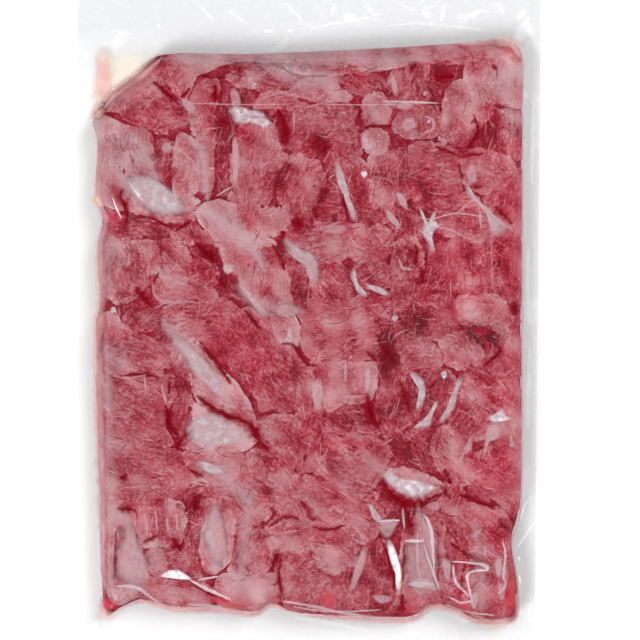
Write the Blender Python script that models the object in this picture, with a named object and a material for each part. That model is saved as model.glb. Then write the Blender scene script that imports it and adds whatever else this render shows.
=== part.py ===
"""A flat vacuum pack of raw beef tongue pieces, sealed in a clear pouch that is drawn tight over them.

The pack lies on its back at z = 0, with +Y towards the end where juice has gathered in one corner. It is
one closed solid: a slab with a rolled wall and the thin film margin round it, and the meat pieces and folds
of film that stand out of its top, all joined by one Boolean union.
"""

import math
import random

import bmesh
import bpy
import numpy as np

MM = 0.001

# Driving sizes, in millimetres: a 250 x 350 mm pouch and a slab of meat about 20 mm thick.
POUCH_WIDTH = 250.0
POUCH_LENGTH = 350.0
POUCH_PULLED_IN = 3.5
BLOCK_HALF_WIDTH = 115.0
SLAB_TOP = 15.8
MARGIN_ROOT_HEIGHT = 6.5
MARGIN_EDGE_HEIGHT = 1.1
MARGIN_THICKNESS = 0.8
MARGIN_RIPPLE = 0.55
MARGIN_RIPPLE_LENGTHS = (11.0, 17.0, 13.0, 29.0)
MARGIN_FALL = 2.2
TOP_ROLL = 9.0
FOOT_ROLL = 5.0

# A meat piece: how far its rim lies below the slab's top and its underside below that, how much its rim
# wavers, how much higher one of its long sides stands than the other, and how near it may come to the
# slab's outline. The three shape powers flatten its crown, steepen its sides and square its plan.
PIECE_DEPTH = 5.0
PIECE_UNDERSIDE = 1.0
PIECE_WAVER = 0.08
PIECE_TILT = 0.9
PIECE_REACH = 0.985
CROWN_POWER = 0.7
SIDE_POWER = 0.8
PLAN_POWER = 2.8

# Juice stands in the pouch's upper left corner, beside the meat: middle, spread and swell in millimetres.
JUICE_MIDDLE = (-99.0, 134.0)
JUICE_SPREAD = 14.0
JUICE_SWELL = 4.5

# How finely the shapes are cut.
OUTLINE_SIDES = 112
CURVE_STEPS = 12
ROLL_STEPS = 4
MARGIN_STEPS = 4
PIECE_SIDES = 12
PIECE_RINGS = 6

# The outline of the meat seen from above, anticlockwise from its lower right corner, in millimetres.
# A smooth closed curve runs through it. The juice cuts off its upper left corner.
MEAT_OUTLINE = (
    (112, -160), (112, -140), (109, -119), (114, -95), (114.5, 0), (115, 110), (115, 141), (107, 150),
    (80, 149), (40, 146.5), (-30, 143.5), (-79, 143), (-92, 132), (-107, 121), (-112, 113), (-117, 108),
    (-114, 95), (-115, 68), (-111, 55), (-114, 38), (-113, 12), (-115, -12), (-113, -90), (-111, -156),
    (-103, -156), (-90, -151), (-72, -155), (-46, -156), (-29, -158), (-20, -153), (-6, -158.5),
    (44, -161), (57, -160), (66, -154), (78, -156), (90, -162), (104, -163),
)

# The pieces that show on top: x, y, length, width, turn of the long side from +X, and lift above the slab.
# Lengths are in millimetres and turns in degrees. They are listed by rows, from the top margin down.
MEAT_PIECES = (
    (-74, 131, 36, 24, 62, 2.4), (-52, 137, 44, 10, -3, 1.7), (-22, 130, 42, 13, -10, 2.2),
    (12, 137, 50, 14, 2, 1.6), (34, 119, 40, 24, 85, 2.9), (72, 132, 26, 12, 0, 1.7),
    (104, 130, 40, 24, -70, 1.8),
    (-95, 108, 40, 30, 30, 2.5), (-75, 109, 30, 24, -35, 2.2), (-56, 113, 40, 18, 85, 2.4),
    (-45, 107, 34, 13, 95, 1.4), (-2, 120, 46, 17, -6, 2.3), (12, 104, 34, 24, 10, 2.1),
    (58, 124, 26, 18, 80, 1.8), (57, 106, 28, 20, 90, 1.8), (82, 109, 42, 28, 68, 3.1),
    (103, 101, 34, 22, 80, 2.0),
    (-96, 84, 50, 34, 95, 2.7), (-71, 83, 30, 22, 55, 2.2), (-57, 84, 52, 13, 97, 2.5),
    (-28, 88, 46, 34, 80, 3.2), (-5, 78, 54, 26, 72, 2.8), (34, 92, 22, 20, 90, 2.4),
    (20, 78, 30, 22, 70, 2.2), (45, 78, 36, 24, 80, 2.2), (66, 82, 32, 22, -10, 2.3),
    (91, 76, 34, 24, -25, 2.6),
    (-66, 58, 44, 20, 10, 2.4), (-93, 50, 36, 16, -15, 2.1), (-38, 52, 46, 26, -35, 2.5),
    (12, 58, 30, 24, 60, 2.4), (36, 60, 40, 22, -62, 2.5), (66, 62, 34, 20, 15, 2.1),
    (105, 58, 40, 18, 90, 2.0),
    (-93, 26, 40, 34, 80, 2.7), (-69, 33, 34, 26, -40, 2.6), (-24, 24, 50, 32, -62, 3.0),
    (4, 34, 42, 26, -50, 2.8), (34, 34, 38, 26, -38, 2.6), (80, 32, 58, 44, 82, 3.3),
    (106, 20, 44, 18, 90, 2.0),
    (-48, 12, 40, 26, -40, 2.3), (-70, 12, 32, 20, -10, 2.8), (-92, -10, 40, 28, -15, 2.5),
    (10, 2, 46, 36, -32, 2.9), (38, 2, 34, 28, 60, 2.5), (62, 2, 30, 24, 60, 2.2),
    (84, -4, 36, 26, -15, 2.5), (102, -14, 32, 24, 70, 2.1),
    (-58, -16, 46, 28, -48, 2.7), (-26, -24, 66, 34, -54, 3.4), (-88, -42, 42, 32, -20, 2.9),
    (2, -36, 36, 28, 80, 2.6), (24, -28, 34, 24, 0, 2.6), (52, -36, 46, 26, 75, 2.9),
    (72, -36, 40, 22, 62, 2.2), (95, -48, 50, 32, 72, 3.0),
    (-50, -58, 44, 26, -12, 2.8), (-88, -76, 40, 30, 0, 2.7), (-20, -66, 40, 30, -55, 2.7),
    (10, -66, 40, 28, 20, 2.5), (40, -66, 40, 30, -30, 2.7), (76, -70, 44, 24, -48, 2.9),
    (-58, -86, 36, 24, -10, 2.4), (-86, -104, 42, 26, 0, 2.5), (-32, -94, 42, 28, -45, 2.6),
    (-4, -92, 40, 28, -45, 2.5), (24, -94, 44, 26, -28, 2.8), (55, -88, 34, 13, -5, 3.4),
    (90, -88, 46, 28, -30, 2.7), (100, -110, 34, 22, 80, 2.5),
    (-60, -112, 34, 28, 80, 2.2), (-36, -118, 42, 28, 80, 2.6), (-8, -116, 36, 24, 5, 2.4),
    (18, -120, 38, 26, 25, 2.6), (-96, -130, 42, 24, 85, 2.4), (-76, -132, 34, 22, 5, 2.1),
    (50, -112, 30, 20, 90, 1.4), (80, -110, 36, 20, -60, 2.3),
    (2, -142, 42, 26, -15, 2.7), (34, -138, 40, 20, 80, 2.3), (-40, -144, 46, 18, -5, 2.0),
    (-76, -148, 52, 13, 0, 1.5), (84, -142, 34, 26, 60, 2.2), (102, -142, 36, 20, 88, 1.9),
    (62, -146, 34, 15, 0, 1.4),
)

# Where the film is gathered into raised folds: x, y, length, width, turn and lift, as for the pieces.
FILM_FOLDS = (
    (45, -130, 40, 7, -80, 3.4), (64, -122, 44, 9, -84, 2.9), (86, -134, 30, 8, -30, 2.5),
    (101, -134, 36, 8, 88, 2.7), (-105, -124, 50, 8, 88, 2.3), (-52, -146, 34, 8, -25, 2.2),
)

BEEF_COLOUR = (0.27, 0.04, 0.06, 1.0)
FILM_ROUGHNESS = 0.25


def smooth_closed(points, count):
    """Points at even steps along a Catmull-Rom curve through a closed list of points."""
    fine = []
    size = len(points)
    for i in range(size):
        p0, p1, p2, p3 = (np.array(points[(i + k) % size], float) for k in (-1, 0, 1, 2))
        for t in np.linspace(0, 1, CURVE_STEPS, endpoint=False):
            fine.append(
                0.5 * (2 * p1 + (p2 - p0) * t + (2 * p0 - 5 * p1 + 4 * p2 - p3) * t**2
                       + (3 * p1 - p0 - 3 * p2 + p3) * t**3)
            )
    fine = np.array(fine + [fine[0]])
    run = np.concatenate([[0], np.cumsum(np.linalg.norm(np.diff(fine, axis=0), axis=1))])
    stops = np.linspace(0, run[-1], count, endpoint=False)
    return np.column_stack([np.interp(stops, run, fine[:, axis]) for axis in (0, 1)])


OUTLINE = smooth_closed(MEAT_OUTLINE, OUTLINE_SIDES)
OUTLINE_ANGLES = np.arctan2(OUTLINE[:, 1], OUTLINE[:, 0])
OUTLINE_RADII = np.hypot(OUTLINE[:, 0], OUTLINE[:, 1])


def reach(x, y):
    """How far out a point lies, as a share of the distance from the middle to the meat's outline."""
    edge = np.interp(math.atan2(y, x), OUTLINE_ANGLES, OUTLINE_RADII, period=2 * math.pi)
    return math.hypot(x, y) / edge


def slab_height(share):
    """Height of the slab's top where reach() gives this share: flat, then rolling down to the margin."""
    roll = TOP_ROLL / BLOCK_HALF_WIDTH
    inward = min(max((1 - share) / roll, 0), 1)
    return MARGIN_ROOT_HEIGHT + (SLAB_TOP - MARGIN_ROOT_HEIGHT) * math.sqrt(1 - (1 - inward) ** 2)


def pouch_side(x, y):
    """How far from the middle the pouch's side edge lies: the filling pulls the right one in, lower down."""
    pulled = POUCH_PULLED_IN * (0.5 - y / POUCH_LENGTH) if x > 0 else 0
    return POUCH_WIDTH / 2 - pulled


def pouch_outline():
    """The pouch's cut edge, one point on the same ray as each point of the meat's outline."""
    half_length = POUCH_LENGTH / 2
    edge = []
    for x, y in OUTLINE:
        half_width = pouch_side(x, y)
        grow = min(half_width / max(abs(x), 1e-6), half_length / max(abs(y), 1e-6))
        edge.append((x * grow, y * grow))
    edge = np.array(edge)
    for side_x in (-1, 1):
        for side_y in (-1, 1):
            corner = np.array([side_x * pouch_side(side_x, side_y * half_length), side_y * half_length])
            edge[np.argmin(np.linalg.norm(edge - corner, axis=1))] = corner
    return edge


def juice_swell(x, y):
    """How much the juice lifts the upper film of the margin."""
    apart = math.dist((x, y), JUICE_MIDDLE) / JUICE_SPREAD
    return JUICE_SWELL * math.exp(-apart * apart)


def margin_height(x, y, outward):
    """Middle height of the film margin: it falls away from the meat in soft ripples."""
    fall = (1 - outward) ** MARGIN_FALL
    first, bend, second, slant = MARGIN_RIPPLE_LENGTHS
    ripple = math.sin(x / first + math.sin(y / bend)) + math.sin(y / second - x / slant)
    ripple *= MARGIN_RIPPLE / 2 * math.sin(math.pi * outward)
    return MARGIN_EDGE_HEIGHT + (MARGIN_ROOT_HEIGHT - MARGIN_EDGE_HEIGHT) * fall + ripple


def slab_rings():
    """The slab's rings of points in millimetres, from the top cap over the margin to the flat foot."""
    pouch = pouch_outline()
    turns = [math.pi / 2 * step / ROLL_STEPS for step in range(ROLL_STEPS, 0, -1)]
    rings = []
    for turn in turns:
        share = 1 - TOP_ROLL / BLOCK_HALF_WIDTH * (1 - math.cos(turn))
        rings.append([(x * share, y * share, slab_height(share)) for x, y in OUTLINE])
    outward_steps = [step / MARGIN_STEPS for step in range(MARGIN_STEPS + 1)]
    for side in (1, -1):
        for outward in outward_steps[::side]:
            spread = OUTLINE + (pouch - OUTLINE) * outward
            lift = side * MARGIN_THICKNESS / 2
            swell = side > 0 and 0 < outward < 1
            rings.append([
                (x, y, margin_height(x, y, outward) + lift + swell * juice_swell(x, y)) for x, y in spread
            ])
    foot_top = MARGIN_ROOT_HEIGHT - MARGIN_THICKNESS / 2
    for turn in turns[::-1]:
        share = 1 - FOOT_ROLL / BLOCK_HALF_WIDTH * (1 - math.cos(turn))
        rings.append([(x * share, y * share, foot_top * (1 - math.sin(turn))) for x, y in OUTLINE])
    return rings


def add_object(name, mesh_builder):
    """A new object from a bmesh in millimetres, brought to metres."""
    bmesh.ops.scale(mesh_builder, vec=(MM, MM, MM), verts=mesh_builder.verts)
    bmesh.ops.recalc_face_normals(mesh_builder, faces=mesh_builder.faces)
    mesh = bpy.data.meshes.new(name)
    mesh_builder.to_mesh(mesh)
    mesh_builder.free()
    made = bpy.data.objects.new(name, mesh)
    bpy.context.scene.collection.objects.link(made)
    return made


def make_slab():
    """The slab with its film margin, skinned ring by ring."""
    rings = slab_rings()
    builder = bmesh.new()
    bmesh.ops.create_circle(builder, cap_ends=True, segments=OUTLINE_SIDES, radius=1)
    builder.verts.ensure_lookup_table()
    for vert, place in zip(builder.verts, rings[0]):
        vert.co = place
    edges = list(builder.edges)
    for ring in rings[1:]:
        grown = bmesh.ops.extrude_edge_only(builder, edges=edges)["geom"]
        new_verts = [item for item in grown if isinstance(item, bmesh.types.BMVert)]
        edges = [item for item in grown if isinstance(item, bmesh.types.BMEdge)]
        for vert, place in zip(new_verts, ring):
            vert.co = place
    bmesh.ops.contextual_create(builder, geom=edges)
    return add_object("vacuum_pouch", builder)


def make_piece(name, x, y, length, width, turn, lift, seed):
    """A flattened, uneven piece of meat or fold of film that sits in the slab's top.

    Its rim sinks into the slab, its crown stands lift above it, and one of its long sides stands higher
    than the other, as a slice does that lies half over the next.
    """
    chance = random.Random(seed)
    phases = [chance.uniform(0, 2 * math.pi) for _ in range(3)]
    tilt = chance.choice((-1, 1)) * PIECE_TILT
    builder = bmesh.new()
    bmesh.ops.create_uvsphere(builder, u_segments=PIECE_SIDES, v_segments=PIECE_RINGS, radius=1)
    cos_turn, sin_turn = math.cos(math.radians(turn)), math.sin(math.radians(turn))
    for vert in builder.verts:
        around = math.atan2(vert.co.y, vert.co.x)
        square = abs(math.cos(around)) ** PLAN_POWER + abs(math.sin(around)) ** PLAN_POWER
        waver = 1 + PIECE_WAVER * sum(math.sin(k * around + p) for k, p in zip((2, 3, 5), phases))
        out = math.hypot(vert.co.x, vert.co.y) ** SIDE_POWER * square ** (-1 / PLAN_POWER) * waver
        along, across = out * math.cos(around), out * math.sin(around)
        u, v = 0.5 * length * along, 0.5 * width * across
        px, py = x + u * cos_turn - v * sin_turn, y + u * sin_turn + v * cos_turn
        share = reach(px, py)
        if share > PIECE_REACH:
            px, py, share = px * PIECE_REACH / share, py * PIECE_REACH / share, PIECE_REACH
        rim = slab_height(share) - PIECE_DEPTH
        rise = abs(vert.co.z) ** CROWN_POWER
        if vert.co.z > 0:
            vert.co = (px, py, rim + rise * (PIECE_DEPTH + lift + tilt * across))
        else:
            vert.co = (px, py, rim - rise * PIECE_UNDERSIDE)
    return add_object(name, builder)


def join_all(body, pieces):
    """Fuses the pieces with the body by one Boolean union, applies it and removes them."""
    joined = bpy.data.collections.new("joined")
    for piece in pieces:
        bpy.context.scene.collection.objects.unlink(piece)
        joined.objects.link(piece)
    bpy.context.scene.collection.children.link(joined)
    union = body.modifiers.new("fuse", "BOOLEAN")
    union.operation = "UNION"
    union.operand_type = "COLLECTION"
    union.collection = joined
    bpy.context.view_layer.update()
    fused = bpy.data.meshes.new_from_object(body.evaluated_get(bpy.context.evaluated_depsgraph_get()))
    body.modifiers.clear()
    body.data = fused
    for piece in pieces:
        bpy.data.objects.remove(piece)
    bpy.data.collections.remove(joined)


def beef_under_film():
    material = bpy.data.materials.new("raw_beef_under_film")
    material.use_nodes = True
    shader = material.node_tree.nodes["Principled BSDF"]
    shader.inputs["Base Color"].default_value = BEEF_COLOUR
    shader.inputs["Roughness"].default_value = FILM_ROUGHNESS
    shader.inputs["Metallic"].default_value = 0.0
    return material


def main():
    for old in list(bpy.data.objects):
        bpy.data.objects.remove(old)
    pouch = make_slab()
    pieces = []
    for number, sizes in enumerate(MEAT_PIECES + FILM_FOLDS):
        pieces.append(make_piece(f"piece_{number}", *sizes, seed=number))
    join_all(pouch, pieces)
    pouch.data.materials.clear()
    pouch.data.materials.append(beef_under_film())
    pouch.data.shade_smooth()
    pouch.data.set_sharp_from_angle(angle=math.radians(35))


main()
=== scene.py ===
# %% [markdown]
# # A vacuum pack of raw beef tongue pieces
# The pack is a clear pouch with the air drawn out of it, so that two thin films lie skin tight on a slab of
# red slices and trimmings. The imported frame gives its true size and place. Everything below is made round
# it: first the meat, then the film over it, then the juice and air between them, and last the light.

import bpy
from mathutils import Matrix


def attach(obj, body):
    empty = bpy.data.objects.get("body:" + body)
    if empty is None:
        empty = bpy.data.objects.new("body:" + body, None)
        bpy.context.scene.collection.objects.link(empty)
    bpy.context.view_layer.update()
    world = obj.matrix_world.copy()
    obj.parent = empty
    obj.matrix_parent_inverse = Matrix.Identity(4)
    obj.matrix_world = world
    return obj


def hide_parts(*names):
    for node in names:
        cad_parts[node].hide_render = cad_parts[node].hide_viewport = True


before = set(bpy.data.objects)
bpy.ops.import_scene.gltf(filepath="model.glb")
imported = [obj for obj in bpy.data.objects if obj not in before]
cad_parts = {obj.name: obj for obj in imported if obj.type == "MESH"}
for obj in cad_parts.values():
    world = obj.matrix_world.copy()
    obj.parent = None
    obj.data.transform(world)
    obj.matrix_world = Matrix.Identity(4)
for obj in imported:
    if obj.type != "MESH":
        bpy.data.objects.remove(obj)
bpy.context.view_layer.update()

# %% Modules
import math
import random

import bmesh
import bpy
import numpy as np
from mathutils import Matrix, Vector

# %% [markdown]
# ## Sizes
# All shapes are worked out in millimetres, as a maker would measure the pack, and are brought to metres
# when a mesh is finished. The outline of the meat is a smooth closed curve through a few measured points,
# the same as in the solid. The pouch is a stock 250 by 350 mm one, and the meat has pulled its lower right
# side in.

# %% Driving sizes
MM = 0.001
TINY = 1e-6
POUCH_WIDTH = 250.0
POUCH_LENGTH = 350.0
POUCH_PULLED_IN = 3.5
BLOCK_HALF_WIDTH = 115.0
BLOCK_HALF_LENGTH = 160.0
TOP_ROLL = 9.0
FOOT_ROLL = 5.0
MARGIN_ROOT_HEIGHT = 6.5
MARGIN_EDGE_HEIGHT = 1.1
MARGIN_FALL = 2.2
RIPPLE_HEIGHT = 0.25
RIPPLE_SPANS = (11, 17, 13, 29)
CORE_TOP = 15.2
SLICE_LEVEL = 17.4
MEAT_FLOOR = 0.35
MEAT_OUTLINE = (
    (112, -160), (112, -140), (109, -119), (114, -95), (114.5, 0), (115, 110), (115, 141), (107, 150),
    (80, 149), (40, 146.5), (-30, 143.5), (-79, 143), (-92, 132), (-107, 121), (-112, 113), (-117, 108),
    (-114, 95), (-115, 68), (-111, 55), (-114, 38), (-113, 12), (-115, -12), (-113, -90), (-111, -156),
    (-103, -156), (-90, -151), (-72, -155), (-46, -156), (-29, -158), (-20, -153), (-6, -158.5),
    (44, -161), (57, -160), (66, -154), (78, -156), (90, -162), (104, -163),
)
print("pouch:", POUCH_WIDTH, "by", POUCH_LENGTH, "mm")

# %% Smooth curves through a few points
CURVE_STEPS = 10
OUTLINE_POINTS = 240


def curve_through(points, count, closed):
    """Points at even steps along a Catmull-Rom curve through the given points."""
    knots = np.array(points, float)
    size = len(knots)
    spans = size if closed else size - 1
    steps = np.linspace(0, 1, CURVE_STEPS, endpoint=False)[:, None]
    fine = []
    for i in range(spans):
        picks = [(i + k) % size if closed else min(max(i + k, 0), size - 1) for k in (-1, 0, 1, 2)]
        p0, p1, p2, p3 = knots[picks]
        bend = (2 * p0 - 5 * p1 + 4 * p2 - p3) * steps**2 + (3 * p1 - p0 - 3 * p2 + p3) * steps**3
        fine.append(0.5 * (2 * p1 + (p2 - p0) * steps + bend))
    fine = np.vstack(fine + [knots[:1] if closed else knots[-1:]])
    run = np.concatenate([[0], np.cumsum(np.linalg.norm(np.diff(fine, axis=0), axis=1))])
    stops = np.linspace(0, run[-1], count, endpoint=not closed)
    return np.column_stack([np.interp(stops, run, fine[:, axis]) for axis in (0, 1)])


block_ring = curve_through(MEAT_OUTLINE, OUTLINE_POINTS, closed=True)
block_turns = np.arctan2(block_ring[:, 1], block_ring[:, 0])
block_radii = np.hypot(block_ring[:, 0], block_ring[:, 1])
print("meat outline spans", np.ptp(block_ring, axis=0).round(1), "mm")


# %% Heights over the slab and its margin
def block_radius(x, y):
    """The distance from the middle to the meat's outline, in the direction of a point."""
    return np.interp(np.arctan2(y, x), block_turns, block_radii, period=2 * math.pi)


def pouch_radius(x, y):
    """The distance from the middle to the pouch's cut edge, in the direction of a point."""
    far = np.maximum(np.hypot(x, y), TINY)
    pulled = POUCH_PULLED_IN * (0.5 - np.clip(y / POUCH_LENGTH, -0.5, 0.5)) * (x > 0)
    half_width = POUCH_WIDTH / 2 - pulled
    across = half_width / np.maximum(np.abs(x) / far, TINY)
    along = POUCH_LENGTH / 2 / np.maximum(np.abs(y) / far, TINY)
    return np.minimum(across, along)


def shoulder(x, y):
    """1 on the slab's flat top, falling to 0 at the meat's outline as the rolled edge does."""
    inward = np.clip((1 - np.hypot(x, y) / block_radius(x, y)) * BLOCK_HALF_WIDTH / TOP_ROLL, 0, 1)
    return np.sqrt(1 - (1 - inward) ** 2)


def rolled(z, x, y):
    """A height on the slab's top, brought down with the rolled edge."""
    return MARGIN_ROOT_HEIGHT + (z - MARGIN_ROOT_HEIGHT) * shoulder(x, y)


def margin_height(x, y):
    """The height of the film margin: it falls away from the meat in soft ripples."""
    inner, outer = block_radius(x, y), pouch_radius(x, y)
    outward = np.clip((np.hypot(x, y) - inner) / (outer - inner), 0, 1)
    wide, bent, long, slanted = RIPPLE_SPANS
    ripple = np.sin(x / wide + np.sin(y / bent)) + np.sin(y / long - x / slanted)
    fall = (MARGIN_ROOT_HEIGHT - MARGIN_EDGE_HEIGHT) * (1 - outward) ** MARGIN_FALL
    return MARGIN_EDGE_HEIGHT + fall + RIPPLE_HEIGHT * ripple * np.sin(math.pi * outward)


print("margin height at the foot:", round(float(margin_height(0.0, -POUCH_LENGTH / 2)), 2), "mm")

# %% [markdown]
# ## Helpers for meshes and materials
# Most pieces here are closed skins over rings of points. A grid is the simplest start for one: its rows
# become the rings, its two sides meet, and its ends shrink to a pole. Merging the doubled points closes it.

# %% Skins over rings
MERGE_DISTANCE = 1e-4


def new_builder(floats=(), vectors=()):
    """An empty mesh builder whose points can carry the named values."""
    builder = bmesh.new()
    for name in floats:
        builder.verts.layers.float.new(name)
    for name in vectors:
        builder.verts.layers.float_vector.new(name)
    return builder


def wrap_rings(builder, rings, marks):
    """Adds a closed skin over rings of points in millimetres. marks are values for each point, by layer
    name. The skin is made in a small mesh of its own first, because an operator visits all of its mesh."""
    part = new_builder(
        floats=[name for name, values in marks.items() if np.ndim(values[0]) == 1],
        vectors=[name for name, values in marks.items() if np.ndim(values[0]) == 2])
    made = bmesh.ops.create_grid(part, x_segments=len(rings[0]), y_segments=len(rings) - 1, size=1)["verts"]
    places = np.concatenate([np.vstack([ring, ring[:1]]) for ring in rings])
    for vert, place in zip(made, places.tolist()):
        vert.co = place
    for name, values in marks.items():
        wrapped = np.concatenate([np.concatenate([row, row[:1]]) for row in values])
        layers = part.verts.layers.float_vector if wrapped.ndim > 1 else part.verts.layers.float
        layer = layers[name]
        for vert, value in zip(made, wrapped.tolist()):
            vert[layer] = value
    bmesh.ops.remove_doubles(part, verts=part.verts, dist=MERGE_DISTANCE)
    scratch = bpy.data.meshes.new("scratch")
    part.to_mesh(scratch)
    part.free()
    builder.from_mesh(scratch)
    bpy.data.meshes.remove(scratch)


def grow_rim(builder, rim):
    """Extrudes an open rim where it is, and returns the new rim and its points, ready to be moved."""
    made = bmesh.ops.extrude_edge_only(builder, edges=rim)["geom"]
    rim = [edge for edge in made if isinstance(edge, bmesh.types.BMEdge) and edge.is_boundary]
    return rim, {vert for edge in rim for vert in edge.verts}


# %% Finished pieces
SHARP_ANGLE = 75


def finish_piece(name, builder, material, shades=True):
    """Brings a builder from millimetres to metres, makes it an object and lets it ride with the pack.
    A thin clear piece scatters light on to what is below it, so it is told not to shade that."""
    bmesh.ops.scale(builder, vec=(MM, MM, MM), verts=builder.verts)
    bmesh.ops.recalc_face_normals(builder, faces=builder.faces)
    mesh = bpy.data.meshes.new(name)
    builder.to_mesh(mesh)
    builder.free()
    mesh.shade_smooth()
    mesh.set_sharp_from_angle(angle=math.radians(SHARP_ANGLE))
    mesh.materials.append(material)
    piece = bpy.data.objects.new(name, mesh)
    bpy.context.scene.collection.objects.link(piece)
    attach(piece, "root")
    piece.visible_shadow = shades
    triangles = sum(len(face.vertices) - 2 for face in mesh.polygons)
    print(f"{name}: {triangles} triangles")
    return piece


# %% Colours and shader nodes
def srgb(code):
    """A hex colour as the eye reads it, turned to the linear numbers that shaders use."""
    parts = [int(code[i:i + 2], 16) / 255 for i in (1, 3, 5)]
    return tuple(c / 12.92 if c <= 0.04045 else ((c + 0.055) / 1.055) ** 2.4 for c in parts) + (1.0,)


def new_material(name):
    """A material with an empty node tree."""
    material = bpy.data.materials.new(name)
    material.use_nodes = True
    material.node_tree.nodes.clear()
    return material


# In its own order, a MapRange node takes the value, the two ends of the range that it comes in, and the two
# ends of the range that it goes out in. MULTIPLY_ADD multiplies the first two numbers and adds the third.
def add_node(material, kind, inputs=(), stops=(), **settings):
    """Adds a shader node. inputs are values, sockets, or nodes whose first output is meant, either by the
    input's name or in the node's own order. stops are the (position, hex colour) marks of a colour ramp."""
    tree = material.node_tree
    node = tree.nodes.new("ShaderNode" + kind)
    for name, value in settings.items():
        setattr(node, name, value)
    for key, value in inputs.items() if isinstance(inputs, dict) else enumerate(inputs):
        if isinstance(value, bpy.types.Node):
            value = value.outputs[0]
        if isinstance(value, bpy.types.NodeSocket):
            tree.links.new(value, node.inputs[key])
        else:
            node.inputs[key].default_value = value
    for number, (place, code) in enumerate(stops):
        marks = node.color_ramp.elements
        mark = marks[number] if number < len(marks) else marks.new(1.0)
        mark.position = place
        mark.color = srgb(code)
    return node


print("white is", srgb("#FFFFFF"))

# %% [markdown]
# ## Raw beef
# Cut beef is a bundle of fine fibres with thin white sinew between them. Where film wets it, it is deep red
# and glossy. Each slice keeps its own grain, so a vertex attribute holds places measured along and across
# the fibres, and noise stretched along them draws the grain. A second attribute holds how pale the slice
# is, a third how far a point is from its rim, where juice gathers and the red is deepest, and a fourth how
# fresh the cut is: newly cut beef is a bright crimson, and an older face is a greyer, browner red.

# %% Fibres, blotches and flecks
BEND_SIZE = 13.0
FIBRE_LENGTH = 6.0
FIBRE_WIDTH = 1.2
FIBRE_DEPTH = 2.5
BLOTCH_SIZE = 8.0
FLECK_SIZE = 1.5


def muscle_pattern(beef, place):
    """The noises that muscle is drawn with: soft bends, streaks along the bent fibres, blotches, flecks."""
    fibre = add_node(beef, "Attribute", attribute_name="fibre").outputs["Vector"]
    bend = add_node(beef, "TexNoise", {"Vector": place, "Scale": 1 / (BEND_SIZE * MM), "Detail": 1.0})
    bent = add_node(beef, "VectorMath", (bend.outputs["Color"], (-0.5, -0.5, -0.5)), operation="ADD")
    curved = add_node(beef, "VectorMath", (bent, (BEND_SIZE, BEND_SIZE, 0), fibre), operation="MULTIPLY_ADD")
    drawn = add_node(beef, "Mapping", {
        "Vector": curved, "Scale": (1 / FIBRE_LENGTH, 1 / FIBRE_WIDTH, 1 / FIBRE_DEPTH)})
    streaks = add_node(beef, "TexNoise", {
        "Vector": drawn, "Scale": 1.0, "Detail": 4.0, "Roughness": 0.65, "Distortion": 0.9})
    blotches = add_node(beef, "TexNoise", {
        "Vector": place, "Scale": 1 / (BLOTCH_SIZE * MM), "Detail": 5.0, "Roughness": 0.6,
        "Distortion": 0.4})
    flecks = add_node(beef, "TexNoise", {
        "Vector": place, "Scale": 1 / (FLECK_SIZE * MM), "Detail": 3.0, "Roughness": 0.7,
        "Distortion": 0.3})
    return curved, bend, streaks, blotches, flecks


# %% How pale each place is
STREAK_SHARE = 1.1
BLOTCH_SHARE = 1.0
FLECK_SHARE = 1.3
LEAST_PALENESS = -0.27


def paleness(beef, bend, streaks, blotches, flecks):
    """The slice's own tone and its marks. A pale slice is smoother, and a rim is dark with a pale lip."""
    tone = add_node(beef, "Attribute", attribute_name="tone").outputs["Fac"]
    rim = add_node(beef, "Attribute", attribute_name="rim").outputs["Fac"]
    marks = 0.0
    for noise, share in ((streaks, STREAK_SHARE), (blotches, BLOTCH_SHARE), (flecks, FLECK_SHARE)):
        centred = add_node(beef, "Math", (noise, 0.5), operation="SUBTRACT")
        marks = add_node(beef, "Math", (centred, share, marks), operation="MULTIPLY_ADD")
    worked = add_node(beef, "Math", (bend, tone), operation="SUBTRACT")
    crispness = add_node(beef, "MapRange", (worked, -0.25, 0.2, 0.38, 1.2))
    varied = add_node(beef, "Math", (marks, crispness), operation="MULTIPLY")
    floored = add_node(beef, "Math", (varied, LEAST_PALENESS, 0.2), operation="SMOOTH_MAX")
    pale = add_node(beef, "Math", (floored, tone), operation="ADD")
    uneven = add_node(beef, "Math", (blotches, 1.7, -0.36), operation="MULTIPLY_ADD")
    worn = add_node(beef, "Math", (uneven, rim), operation="ADD")
    edge = add_node(beef, "MapRange", (worn, 0.36, 0.64, -0.26, 0.0))
    lip = add_node(beef, "MapRange", (worn, 0.64, 0.85, 0.14, 0.0))
    for shift in (edge, lip):
        pale = add_node(beef, "Math", (pale, shift), operation="ADD")
    return pale


# %% The aged red and the fresh one
HUE_SIZE = 18.0
FRESH_SHARE = 0.42


def flesh_colour(beef, place, pale):
    """Two scales of red from dark to pale, mixed by how fresh the cut is and by a slow drift."""
    fresh = add_node(beef, "Attribute", attribute_name="fresh").outputs["Fac"]
    aged = add_node(beef, "ValToRGB", (pale,), stops=(
        (0.0, "#5A0E1A"), (0.2, "#7C2632"), (0.4, "#924550"), (0.6, "#A0646B"), (0.8, "#AE8287"),
        (1.0, "#BD9CA0")))
    bright = add_node(beef, "ValToRGB", (pale,), stops=(
        (0.0, "#760818"), (0.2, "#96182C"), (0.4, "#A83446"), (0.6, "#B65761"), (0.8, "#C1767E"),
        (1.0, "#CA9499")))
    drift = add_node(beef, "TexNoise", {
        "Vector": place, "Scale": 1 / (HUE_SIZE * MM), "Detail": 4.0, "Roughness": 0.6, "Distortion": 0.5})
    spread = add_node(beef, "MapRange", (drift, 0.25, 0.75, 0.15, 0.85))
    redness = add_node(beef, "Math", (fresh, FRESH_SHARE, spread), operation="MULTIPLY_ADD", use_clamp=True)
    flesh = add_node(beef, "Mix", {"Factor": redness, "A": aged, "B": bright}, data_type="RGBA")
    return flesh.outputs["Result"]


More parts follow.
